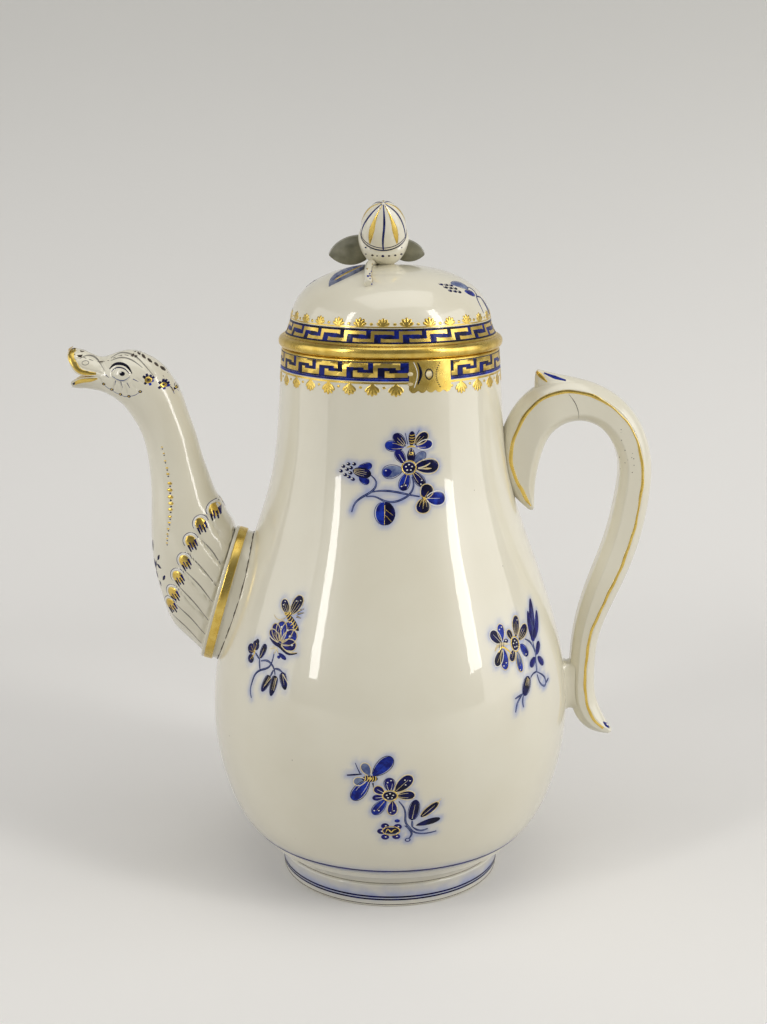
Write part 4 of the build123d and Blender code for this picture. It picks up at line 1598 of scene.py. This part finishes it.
def panel(on, radius, top):
    """The gilded panel that closes the band, with its small painted ring and bows."""
    left = radius * math.radians(panel_start - 1.6)
    right = radius * math.radians(panel_end + 0.6)
    xs = np.linspace(left, right, int((right - left) / 0.5))
    scallop = 1.15 * np.abs(np.sin((xs - left) / (right - left) * math.pi * 5)) ** 0.6
    low = top - 9.7 - scallop
    high = top - 0.5
    line = np.stack([xs, (low + high) / 2], axis=1)
    reach = np.stack([0 * xs, (high - low) / 2], axis=1)
    ridge(on, line, reach, flat_top(0.085, 0.99, 9), "gold", "pot")
    middle = top - 4.2
    ring = (radius * math.radians(19.3), middle - 0.6)
    dot(on, ring, 1.2, "pale")
    loop(on, ring, (1.25, 1.65), 0.55, "black", over=0.06)
    bow = radius * math.radians(13.4)
    line = [(bow, top - 0.9), (bow + 1.1, middle), (bow, top - 8.0)]
    stroke(on, line, [0.5, 1.6, 0.6], "black", over=0.05)
    line = [(bow - 1.3, top - 0.8), (bow - 0.1, middle), (bow - 1.2, top - 9.0)]
    stroke(on, line, 0.35, "white", over=0.03)
    for start in (-0.4, -3.6):
        dot(on, (bow - 2.4, middle + start), 0.9, "pale", over=0.01)
    for step in np.linspace(0.05, 0.95, 12):
        at = (radius * math.radians(25.4) - 1.6 * math.sin(math.pi * step), top - 1.0 - 8.4 * step)
        dot(on, at, 0.28, "black", over=0.05)


# The strewn sprigs. Each is drawn in millimetres round the middle of its main flower.

def neck_sprig(on):
    wet, dry = brushes(on)
    stems(on, [
        [(-12.5, -2.5), (-10.8, -4.8), (-11.5, -6.9), (-13.3, -8.4), (-15.5, -9.7), (-18, -11.8),
         (-19.4, -14.9)],
        [(-13.3, -8.2), (-10.3, -7.6), (-4.3, -7.9), (-0.8, -8.7), (3.4, -9.6)],
        [(-14.3, -9.5), (-11.3, -9.5), (-8.3, -10.8), (-5.3, -11.1), (-2.3, -10.2), (0.3, -8.4),
         (1.4, -6.1), (1, -3)],
        [(-8.6, -10.6), (-8.2, -11.8)],
    ])
    wet.petal((-1.6, 6.7), (-7.7, 7.5), 3.6, "mid", veins=2, edge="line")
    wet.petal((-1.1, 7.0), (-4.7, 11.0), 3.3, "dark", veins=3, edge="line", over=0.02)
    wet.petal((2.4, 6.9), (8.1, 7.6), 3.2, "mid", veins=2, edge="white")
    wet.petal((2.0, 7.4), (6.3, 11.1), 3.3, "dark", veins=3, edge="pale", over=0.02)
    wet.petal((0.9, 6.9), (1.2, 11.9), 2.5, "dark")
    stripes(on, 4, [(0.2, 8.2), (1.1, 7.9), (2.0, 8.2)], (0, 0.85), (0.2, 0.45, 0.2))
    wet.stroke([(-0.3, 7.6), (-1.1, 11.4)], [0.4, 0.25], "line")
    wet.stroke([(2.6, 10.6), (3.6, 12.2)], [0.3, 0.2], "line")
    dry.stroke([(-0.6, 6.6), (0.8, 7.0), (2.2, 6.6)], [0.3, 1.0, 0.3], "gold")
    wet.petal((0.8, 6.4), (0.8, 1.9), 3.2, "dark", veins=2)
    gold_bead(on, (0.8, 4.6), 0.7)
    wet.petal((1.7, 0.1), (10.2, 0.2), 4.9, "dark", edge="pale")
    dry.stroke([(3.0, -0.2), (5.6, 0.3), (7.2, 1.2)], [0.3, 0.5, 0.7, 0.3], "pale")
    dry.stroke([(3.0, -0.4), (6.0, -0.6), (7.6, -0.6)], [0.3, 0.4, 0.9, 0.3], "pale")
    wet.petal((1.3, -1.5), (5.0, -6.2), 3.2, "dark", veins=2, dots=2, edge="line")
    wet.petal((-0.5, -1.8), (-2.4, -7.4), 3.6, "mid", veins=1, dots=2, edge="line")
    wet.petal((-1.3, -5.0), (-2.3, -7.4), 2.6, "dark", over=0.02)
    wet.petal((-2.0, -0.5), (-8.8, -1.8), 4.4, "grey", dots=1, edge="line")
    wet.petal((-5.6, -1.2), (-8.6, -1.8), 3.2, "mid", over=0.02)
    wet.petal((-1.4, 1.4), (-4.0, 5.8), 3.1, "deep", veins=1, vein_ink="white", edge="line")
    wet.petal((1.4, 1.5), (5.6, 4.7), 2.8, "grey", veins=2, vein_ink="line", edge="line")
    wet.flower_eye((0, 0), (2.1, 2.0))
    wet.petal((-16.8, 0.0), (-12.2, 1.0), 2.4, "mid", bend=-0.4, edge="line")
    wet.petal((-16.6, -3.4), (-13.2, -5.0), 2.4, "mid", edge="line")
    wet.petal((-18.6, -1.3), (-12.4, -2.2), 4.0, "dark", peak=0.55, veins=4, over=0.02)
    for x, y in (
        (-20.1, 0.8), (-18.1, 0.9), (-21.9, -0.1), (-20.6, -1.0), (-22.8, -1.7), (-21.3, -2.8),
        (-20.0, -3.4), (-18.6, -4.1), (-19.2, -0.4), (-19.4, -2.1),
    ):
        glinting(on, (x, y), 0.72, "dark", (-0.35, 0.15), 0.26, halo=True)
    wet.petal((-8.1, -11.2), (-8.6, -18.7), 6.2, "mid", bend=-0.2, peak=0.5, edge="line")
    wet.petal((-7.9, -11.2), (-8.3, -18.6), 3.9, "dark", bend=1.5, peak=0.5, over=0.03)
    for low, high in (
        ((-8.0, -13.6), (-5.6, -15.6)), ((-8.2, -15.4), (-6.2, -17.6)),
        ((-8.2, -12.2), (-8.6, -18.8)),
    ):
        dry.stroke([low, high], [0.26, 0.12], "gold", over=0.04)
    wet.petal((4.4, -10.4), (6.9, -5.9), 4.4, "dark", edge="pale")
    wet.petal((4.6, -10.1), (4.2, -15.2), 4.9, "dark", edge="pale", veins=3)
    wet.petal((5.4, -10.3), (12.3, -10.8), 4.8, "mid", edge="white", veins=1, vein_ink="white")
    dry.dot((4.9, -10.3), 0.55, "gold", over=0.03)
    for tip in ((6.4, -8.0), (3.4, -12.0), (4.6, -12.6), (5.6, -11.8), (3.6, -9.2)):
        dry.stroke([(4.9, -10.3), tip], [0.35, 0.12], "gold", over=0.03)


def peony_sprig(on):
    wet, dry = brushes(on)
    stems(on, [
        [(-3.3, -4.4), (-3.5, -7.2), (-4.3, -9.3), (-8.3, -11.6), (-10.9, -13.7), (-12.1, -16.9),
         (-12.5, -19.6), (-11.5, -22.0)],
        [(-9.0, -8.7), (-5.6, -7.9), (-3.3, -8.8), (-2.1, -10.0), (-1.4, -11.6)],
        [(-8.7, -11.7), (-9.5, -9.5), (-9.9, -7.8)], [(-2.2, -9.8), (0.0, -9.6), (1.6, -10.2)],
        [(-3.4, -12.6), (-2.4, -10.3)], [(-9.9, -8.2), (-12.4, -6.8)],
    ])
    wet.petal((-0.5, 9.0), (-3.9, 13.4), 3.4, "dark", veins=3, edge="pale", dots=2)
    wet.petal((0.7, 9.0), (3.6, 15.9), 4.1, "dark", veins=3, edge="pale", dots=2)
    wet.petal((-1.4, 9.4), (5.2, 4.4), 2.4, "dark", peak=0.5)
    stripes(on, 6, [(-1.0, 7.6), (-0.05, 8.5), (0.3, 9.4)], (0.85, -0.68))
    for at in ((-1.3, 9.0), (0.2, 9.4)):
        gold_bead(on, at, 0.75)
    for start, end in (((3.2, 10.5), (5.6, 11.9)), ((3.4, 9.7), (5.9, 10.6)), ((3.2, 8.9), (5.1, 8.6))):
        wet.stroke([start, end], [0.9, 0.35], "dark")
        dry.stroke([start, end], [0.3, 0.15], "pale", over=0.03)
    dry.stroke([(-6.7, 7.6), (-5.4, 6.7), (-3.6, 6.5), (-1.3, 7.6)], [0.15, 0.4, 0.5, 0.3], "pale")
    dry.dot((-1.2, 2.2), 3.7, "mid", over=-0.01)
    wet.petal((-1.5, -0.9), (-2.2, 6.4), 4.6, "mid", veins=2, vein_ink="pale", edge="pale")
    wet.petal((-1.2, -1.0), (4.7, 3.4), 4.8, "mid", veins=1, vein_ink="pale", edge="pale")
    wet.petal((-1.3, -0.9), (1.8, 6.6), 4.6, "mid", veins=1, edge="pale", over=0.02)
    wet.petal((-1.7, -0.8), (-5.6, 4.8), 3.8, "deep", veins=2, vein_ink="pale", edge="pale", over=0.02)
    wet.petal((-1.8, -0.8), (-7.2, 1.9), 3.0, "deep", bend=-0.5, veins=1, edge="pale", over=0.03)
    wet.petal((-1.2, -1.1), (5.4, -0.7), 3.9, "deep", veins=1, vein_ink="pale", edge="pale", over=0.03)
    wet.stroke([(-6.6, -0.2), (-4.2, -1.3), (-1.2, -1.9), (2.4, -3.4), (6.2, -3.0)],
               [0.4, 1.6, 1.9, 1.7, 0.4], "dark", over=0.03)
    dry.stroke([(-1.0, -1.0), (0.6, -2.4), (3.2, -3.2), (6.3, -2.7)], [0.2, 0.35, 0.7, 0.2], "pale",
               over=0.03)
    for at in ((-2.0, 4.3), (0.8, 3.8), (2.2, 2.0), (3.7, -0.7)):
        dry.dot(at, 0.45, "white", over=0.03)
    for tip in ((-5.3, -3.6), (-3.3, -5.0), (-1.6, -4.4), (-4.7, -2.6)):
        dry.stroke([(-2.4, -2.9), tip], [0.7, 0.3], "pale")
    wet.petal((-1.5, -4.3), (2.3, -5.7), 1.9, "mid")
    wet.dot((-1.0, -5.6), 0.7, "mid")
    for at, radius in (((-15.3, -6.0), 1.95), ((-12.9, -4.3), 1.85), ((-14.5, -9.2), 1.7)):
        wet.dot(at, radius, "dark")
    wet.petal((-12.9, -5.2), (-12.2, -2.0), 2.4, "dark")
    for tip in ((-15.6, -5.2), (-14.2, -4.0), (-12.6, -3.4), (-16.0, -6.8), (-14.8, -9.6), (-13.6, -9.0)):
        dry.stroke([(-12.8, -6.9), tip], [0.3, 0.12], "gold", over=0.02)
    wet.petal((-9.7, -8.0), (-7.8, -2.8), 2.5, "dark", veins=1, edge="line")
    for base, tip in (
        ((-3.6, -12.5), (-6.6, -18.4)), ((-1.0, -11.9), (-2.2, -18.9)),
        ((1.5, -10.2), (3.7, -15.6)),
    ):
        wet.petal(base, tip, 2.8, "dark", peak=0.36, veins=1, edge="line")
        dry.stroke([(base[0] + 0.5, base[1] - 0.6), (tip[0] + 1.1, tip[1] + 2.0)], [0.5, 0.2], "pale",
                   over=0.02)


def leaf_sprig(on):
    wet, dry = brushes(on)
    stems(on, [
        [(5.6, 0.4), (8.7, -1.9), (9.8, -4.3), (10.3, -6.6)],
        [(9.9, -1.2), (10.0, -2.7), (10.2, -6.2), (9.4, -9.2), (8.9, -11.7), (7.4, -11.8),
         (5.0, -12.8)],
        [(8.9, -11.7), (11.6, -13.3), (14.2, -16.4), (13.8, -17.7), (11.7, -17.3), (9.6, -14.8),
         (9.1, -12.8)],
        [(13.9, -17.4), (16.6, -16.2)], [(-0.3, -17.0), (-4.2, -17.8)],
        [(-0.4, -17.2), (-3.2, -19.3), (-4.6, -22.4)], [(0.1, -17.5), (-0.7, -19.4), (-0.5, -21.6)],
    ])
    wet.petal((10.1, -1.6), (14.8, 12.2), 4.4, "deep", peak=0.38)
    wet.petal((10.6, -0.8), (17.3, 7.4), 3.4, "deep", bend=-0.9, peak=0.42, over=0.02)
    wet.petal((10.0, -0.6), (11.0, 8.8), 2.6, "deep", bend=0.5, peak=0.45, over=0.02)
    for low, high in (
        ((10.6, 0.4), (14.2, 9.4)), ((11.8, 2.0), (15.2, 5.4)), ((11.4, 2.8), (11.6, 6.2)),
    ):
        dry.stroke([low, high], [0.16, 0.3, 0.1], "grey", over=0.06)
    wet.petal((1.0, 2.2), (3.5, 9.0), 3.6, "dark", veins=3, edge="pale", dots=1)
    wet.petal((2.3, 0.9), (8.0, 4.8), 3.6, "dark", veins=3, edge="pale")
    wet.petal((2.5, -0.6), (5.5, -5.2), 3.0, "mid", edge="line", dots=1)
    wet.petal((0.3, -2.5), (0.6, -9.7), 3.2, "grey", veins=1, vein_ink="pale", edge="pale")
    wet.petal((0.4, -6.0), (0.6, -9.6), 2.7, "mid", over=0.02, dots=1)
    wet.petal((-1.1, -1.5), (-3.5, -5.2), 2.8, "dark", veins=1, edge="pale")
    wet.petal((-1.0, 1.6), (-2.2, 5.4), 2.5, "dark", veins=1, edge="pale")
    wet.flower_eye((0, 0), (1.7, 2.3))
    glinting(on, (-4.0, 1.9), 1.0, "dark", (-0.1, 0.2), 0.35, over=0.02, halo=True)
    wet.petal((-5.7, 2.2), (-5.1, 8.0), 3.2, "mid", edge="pale", dots=2)
    wet.petal((-6.2, 1.5), (-9.8, 6.2), 3.9, "dark", edge="white", veins=1, vein_ink="white")
    wet.petal((-6.4, -0.2), (-10.4, -5.4), 3.3, "dark", veins=1, edge="white")
    wet.petal((-5.8, -0.4), (-6.7, -7.4), 3.6, "mid", edge="pale", dots=2)
    dry.stroke([(-9.6, -0.4), (-7.4, 1.3), (-5.4, 1.2), (-2.6, 0.6)], [0.6, 1.5, 1.3, 0.4], "pale")
    dry.stroke([(-8.2, -1.2), (-6.2, 0.3), (-4.4, -0.8), (-2.6, -2.8)], [0.4, 0.9, 0.8, 0.4], "gold")
    for x in (-7.6, -6.6, -5.6):
        dry.stroke([(x, 0.2), (x + 0.5, 2.0)], [0.3, 0.2], "dark", over=0.07)
    for base, tip in (
        ((10.6, -6.4), (14.0, -2.6)), ((9.6, -6.9), (5.8, -9.2)), ((11.0, -7.2), (14.4, -10.6)),
    ):
        wet.petal(base, tip, 2.5, "deep", veins=1, vein_ink="line", edge="line")
    wet.petal((4.0, -12.0), (0.4, -17.8), 4.0, "dark", peak=0.5, edge="line")
    for offset in (-0.9, -0.3, 0.3, 0.9):
        dry.stroke([(3.6 + 0.4 * offset, -12.7 - 0.5 * offset), (2.4 + offset, -15.0 - 0.4 * offset)],
                   [0.3, 0.12], "pale", over=0.03)


def low_sprig(on):
    wet, dry = brushes(on)
    stems(on, [
        [(2.9, -2.1), (4.5, -4.5), (5.1, -7.7), (5.2, -10.5), (6.3, -12.5), (7.9, -14.6),
         (11.3, -15.6), (15.6, -15.0)],
        [(7.2, -12.2), (10.1, -14.2), (12.6, -13.6)],
        [(4.9, -11.8), (6.4, -13.4), (7.2, -15.4), (6.2, -17.6)], [(7.4, -12.6), (7.3, -10.0)],
    ])
    wet.loop((5.9, -18.0), (0.8, 0.7), 0.5, "line")
    wet.petal((-5.6, 7.2), (0.7, 13.6), 4.6, "mid", veins=1, vein_ink="dark", edge="black")
    wet.petal((-6.6, 7.2), (-8.9, 11.4), 3.1, "grey", edge="pale")
    wet.petal((-6.9, 5.6), (-12.4, -2.0), 4.4, "mid", veins=2, vein_ink="white", edge="black")
    wet.petal((-7.8, 5.6), (-12.0, 4.4), 2.9, "grey", edge="pale")
    wet.stroke([(-9.6, 7.4), (-10.4, 9.0), (-11.4, 11.4)], [0.5, 0.4, 0.3], "line")
    wet.stroke([(-9.2, 7.6), (-11.6, 7.2), (-14.2, 6.8)], [0.4, 0.8, 0.6], "dark")
    wet.petal((-9.2, 5.9), (-4.0, 6.2), 2.6, "dark", peak=0.5, over=0.02)
    stripes(on, 5, [(-8.5, 5.1), (-8.0, 6.0), (-8.2, 7.1)], (0.85, 0), over=0.05)
    dry.dot((-6.4, 6.2), 0.6, "gold", over=0.06)
    wet.stroke([(-5.6, 4.6), (-5.4, 3.0)], [0.7, 0.3], "dark")
    wet.petal((0.0, 1.7), (-0.3, 6.5), 3.6, "deep", veins=2, vein_ink="white", edge="line", dots=2)
    wet.petal((1.6, 1.5), (7.2, 7.0), 4.3, "dark", veins=1, edge="pale", dots=3)
    wet.petal((2.2, 0.0), (8.2, 0.1), 3.3, "dark", veins=2, vein_ink="pale", edge="pale")
    wet.petal((0.9, -1.9), (0.7, -7.5), 3.4, "deep", veins=1, edge="pale", dots=2)
    wet.petal((-1.4, -1.5), (-5.5, -7.2), 3.6, "mid", veins=1, dots=2, edge="line")
    wet.petal((-2.1, -0.5), (-5.8, -1.0), 2.5, "deep", veins=1, vein_ink="white")
    wet.petal((-1.7, 0.9), (-5.2, 2.9), 3.0, "deep", veins=1, vein_ink="white", edge="pale")
    wet.flower_eye((0, 0), (2.2, 1.7))
    wet.petal((7.2, -9.7), (8.6, -1.8), 3.6, "dark", peak=0.5, veins=1, edge="line")
    wet.petal((10.2, -8.5), (16.2, -3.2), 2.7, "dark", peak=0.5, veins=1, edge="pale")
    dry.stroke([(15.8, -3.6), (17.0, -2.0)], [0.35, 0.12], "gold")
    wet.petal((8.6, -11.9), (16.8, -9.8), 2.7, "dark", veins=1, vein_ink="line")
    for at in ((-1.6, -11.9), (-2.9, -14.2), (-1.6, -16.6), (2.1, -16.4), (2.6, -12.2)):
        glinting(on, at, 1.35, "deep", (0.2, 0.1), 0.3, halo=True)
    wet.dot((2.4, -9.8), 0.9, "mid")
    wet.dot((0.4, -13.9), 1.55, "dark", stretch=1.7, over=0.02)
    dry.loop((0.4, -13.9), (2.9, 1.85), 0.4, "gold")
    dry.stroke([(-1.4, -14.6), (-0.6, -13.2), (0.4, -14.4), (1.4, -13.3), (2.1, -13.2)],
               [0.2, 0.5, 0.5, 0.5, 0.2], "gold", over=0.04)


def mirrored(on):
    """The same board with its drawings turned about."""
    return lambda drawing, lift: on(np.asarray(drawing, float) * np.array([-1.0, 1.0]), lift)


def sprigs():
    """Four sprigs on the side that the photo shows, and the like, turned about, behind."""
    for sprig, turn, height in ((neck_sprig, 8.7, 157.1), (peony_sprig, -37.8, 99.6),
                                (leaf_sprig, 45.9, 97.1), (low_sprig, 0.0, 52.4)):
        sprig(body.patch(math.radians(turn), height))
    for sprig, turn, height in ((neck_sprig, 176, 155.0), (leaf_sprig, 217, 101.0),
                                (peony_sprig, 141, 98.0), (low_sprig, 183, 50.0)):
        sprig(mirrored(body.patch(math.radians(turn), height)))


def lid_sprig(on):
    """A spray of berries on the lid's shoulder."""
    brush = Brush(on, rides="lid")
    for row in range(3):
        for column in range(3):
            at = (-8.4 + 1.9 * column + 0.3 * row, 3.9 - 1.7 * row - 0.5 * column)
            brush.dot(at, 0.85, "dark")
            brush.dot((at[0] - 0.3, at[1] + 0.3), 0.25, "white")
    brush.petal((-3.8, 3.6), (3.6, 0.6), 3.9, "grey", bend=0.8, veins=3, vein_ink="line", edge="line")
    brush.petal((-1.0, -0.6), (4.4, -2.4), 2.6, "mid", edge="line")
    for points in (
        [(3.4, 1.0), (6.2, -0.5), (6.2, -2.4), (4.4, -3.8), (3.6, -6.8), (4.4, -9.6)],
        [(4.8, -3.4), (7.2, -3.8), (9.0, -4.4)],
    ):
        brush.stroke(points, [0.5, 0.9, 0.9, 0.5], "line")
    brush.petal((8.2, -4.0), (12.6, -11.4), 2.4, "line")


def lid_sprigs():
    lid_sprig(lid.patch(math.radians(60), 212.4))
    lid_sprig(mirrored(lid.patch(math.radians(-108), 212.0)))
    lid_sprig(lid.patch(math.radians(170), 211.0))


# The stage, the lights and the camera

def stage():
    """A pale floor that runs up into a wall, whose colour is painted darker grey towards its top as painted
    shade.
    """
    half_width, front, back, bend_radius, wall_height = 1600, -1200, 260, 340, 1600
    outline = [(front, 0), (back, 0)]
    outline += [(back + bend_radius * math.sin(t), bend_radius * (1 - math.cos(t)))
                for t in np.linspace(0.1, math.pi / 2, 16)]
    outline.append((back + bend_radius, wall_height))
    points = [(x, y, z) for x in (-half_width, half_width) for y, z in outline]
    count = len(outline)
    faces = [(i, i + 1, count + i + 1, count + i) for i in range(count - 1)]
    mesh = bpy.data.meshes.new("backdrop")
    mesh.from_pydata((np.array(points, float) * MM).tolist(), [], faces)
    mesh.shade_smooth()
    shader = Shader("backdrop_paper_and_shade")
    grain = shader.ramp(shader.noise(3.0, 2.0), [(0.3, 0.0), (0.7, 1.0)])
    paper = shader.mix(grain, (0.90, 0.89, 0.865, 1.0), (0.93, 0.92, 0.895, 1.0))
    parts = shader.node("ShaderNodeSeparateXYZ", {"Vector": shader.where})
    # Painted shade: the colour that the camera sees turns from pale paper to grey as the wall rises.
    rise = shader.ramp(parts.outputs["Z"], [(0.0, 0.0), (0.5, 1.0)])
    shown = shader.mix(rise, paper, (0.54, 0.54, 0.515, 1.0))
    rays = shader.node("ShaderNodeLightPath").outputs
    seen = shader.calculate("ADD", rays["Is Camera Ray"], rays["Is Glossy Ray"])
    seen = shader.calculate("ADD", seen, rays["Is Transmission Ray"])
    shader.link(shader.mix(seen, (0.56, 0.55, 0.53, 1.0), shown), "Base Color")
    shader.set(Roughness=0.9)
    mesh.materials.append(shader.material)
    put_in_scene("backdrop", mesh)


def lamp(name, place, aim, size, power):
    """A soft rectangular light. Its size is its width and height."""
    light = bpy.data.lights.new(name, "AREA")
    light.shape = "RECTANGLE"
    light.size, light.size_y = (side * MM for side in size)
    light.energy = power
    light.color = (1.0, 0.98, 0.95)
    lit = put_in_scene(name, light)
    lit.location = Vector(place) * MM
    lit.rotation_euler = (Vector(aim) * MM - lit.location).to_track_quat("-Z", "Y").to_euler()


def polar(azimuth, distance, height):
    """A place that many degrees to the right of the viewer's side."""
    turn = math.radians(azimuth)
    return (distance * math.sin(turn), -distance * math.cos(turn), height)


def lights():
    """Two windows, a fill to each side and a soft light overhead."""
    middle = (0, 0, 120)
    lamp("left_window", polar(-50, 1300, 670), middle, (150, 960), 4.1)
    lamp("right_window", polar(57, 1300, 730), middle, (240, 1060), 6.2)
    lamp("right_fill", polar(80, 1200, 420), middle, (900, 900), 4.0)
    lamp("left_fill", polar(-84, 1200, 420), middle, (900, 900), 2.9)
    lamp("top_softbox", (100, -220, 1250), (40, -60, 0), (1200, 800), 3.9)
    world = bpy.data.worlds.new("room")
    bpy.context.scene.world = world
    world.use_nodes = True
    sky = world.node_tree.nodes["Background"]
    sky.inputs["Color"].default_value = (0.95, 0.96, 1.0, 1.0)
    sky.inputs["Strength"].default_value = 0.225


def camera():
    """The photograph's view: a little above the lid's height, close in front."""
    look_down = 13.37
    roll = 0.26
    lens = bpy.data.cameras.new("camera")
    lens.sensor_fit = "VERTICAL"
    lens.sensor_height = 24.0
    lens.lens = 36.05
    lens.clip_start = 0.01
    viewer = put_in_scene("camera", lens)
    viewer.location = Vector((0, -531, 259)) * MM
    viewer.rotation_euler = (math.radians(90 - look_down), 0, math.radians(roll))
    bpy.context.scene.camera = viewer


glazed_body = pot_body()
glazed_foot = foot_ring()
spout_collar()
bird_piece = bird()
bird_tree = tree_of(bird_piece)
cut(bird_piece, [gape_cutter()])
handle_piece = handle()
crest_piece = thumb_rest(handle_piece)
handle_lug()
lid_dome()
lid_rim()
lid_flange()
finial_bud()
calyx_piece = finial_calyx()

pot_band()
lid_band()
sprigs()
lid_sprigs()
foot_lines()
mouth_gilding()
collar_gilding()
handle_lines()
thumb_paint(crest_piece, handle_piece)
bird_paint(bird_tree)
bud_paint()
knob_specks(tree_of(calyx_piece))
stem_specks()
leaf_paint()
fire_paint()
add_wash(glazed_body, sprig_wash)
add_wash(glazed_foot, foot_wash)
# The side leaves take the dark olive glaze that holds painted shade.
leaf_finish = {
    "finial_leaf_front": leaf_blue, "finial_leaf_left": leaf_green_and_shade, "finial_leaf_right": leaf_green_and_shade,
}
for name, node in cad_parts.items():
    if not node.hide_render:
        node.data.materials.clear()
        node.data.materials.append(leaf_finish.get(name, plain_glaze))
        node.data.shade_smooth()
stage()
lights()
camera()
bpy.context.scene.view_settings.view_transform = "Standard"
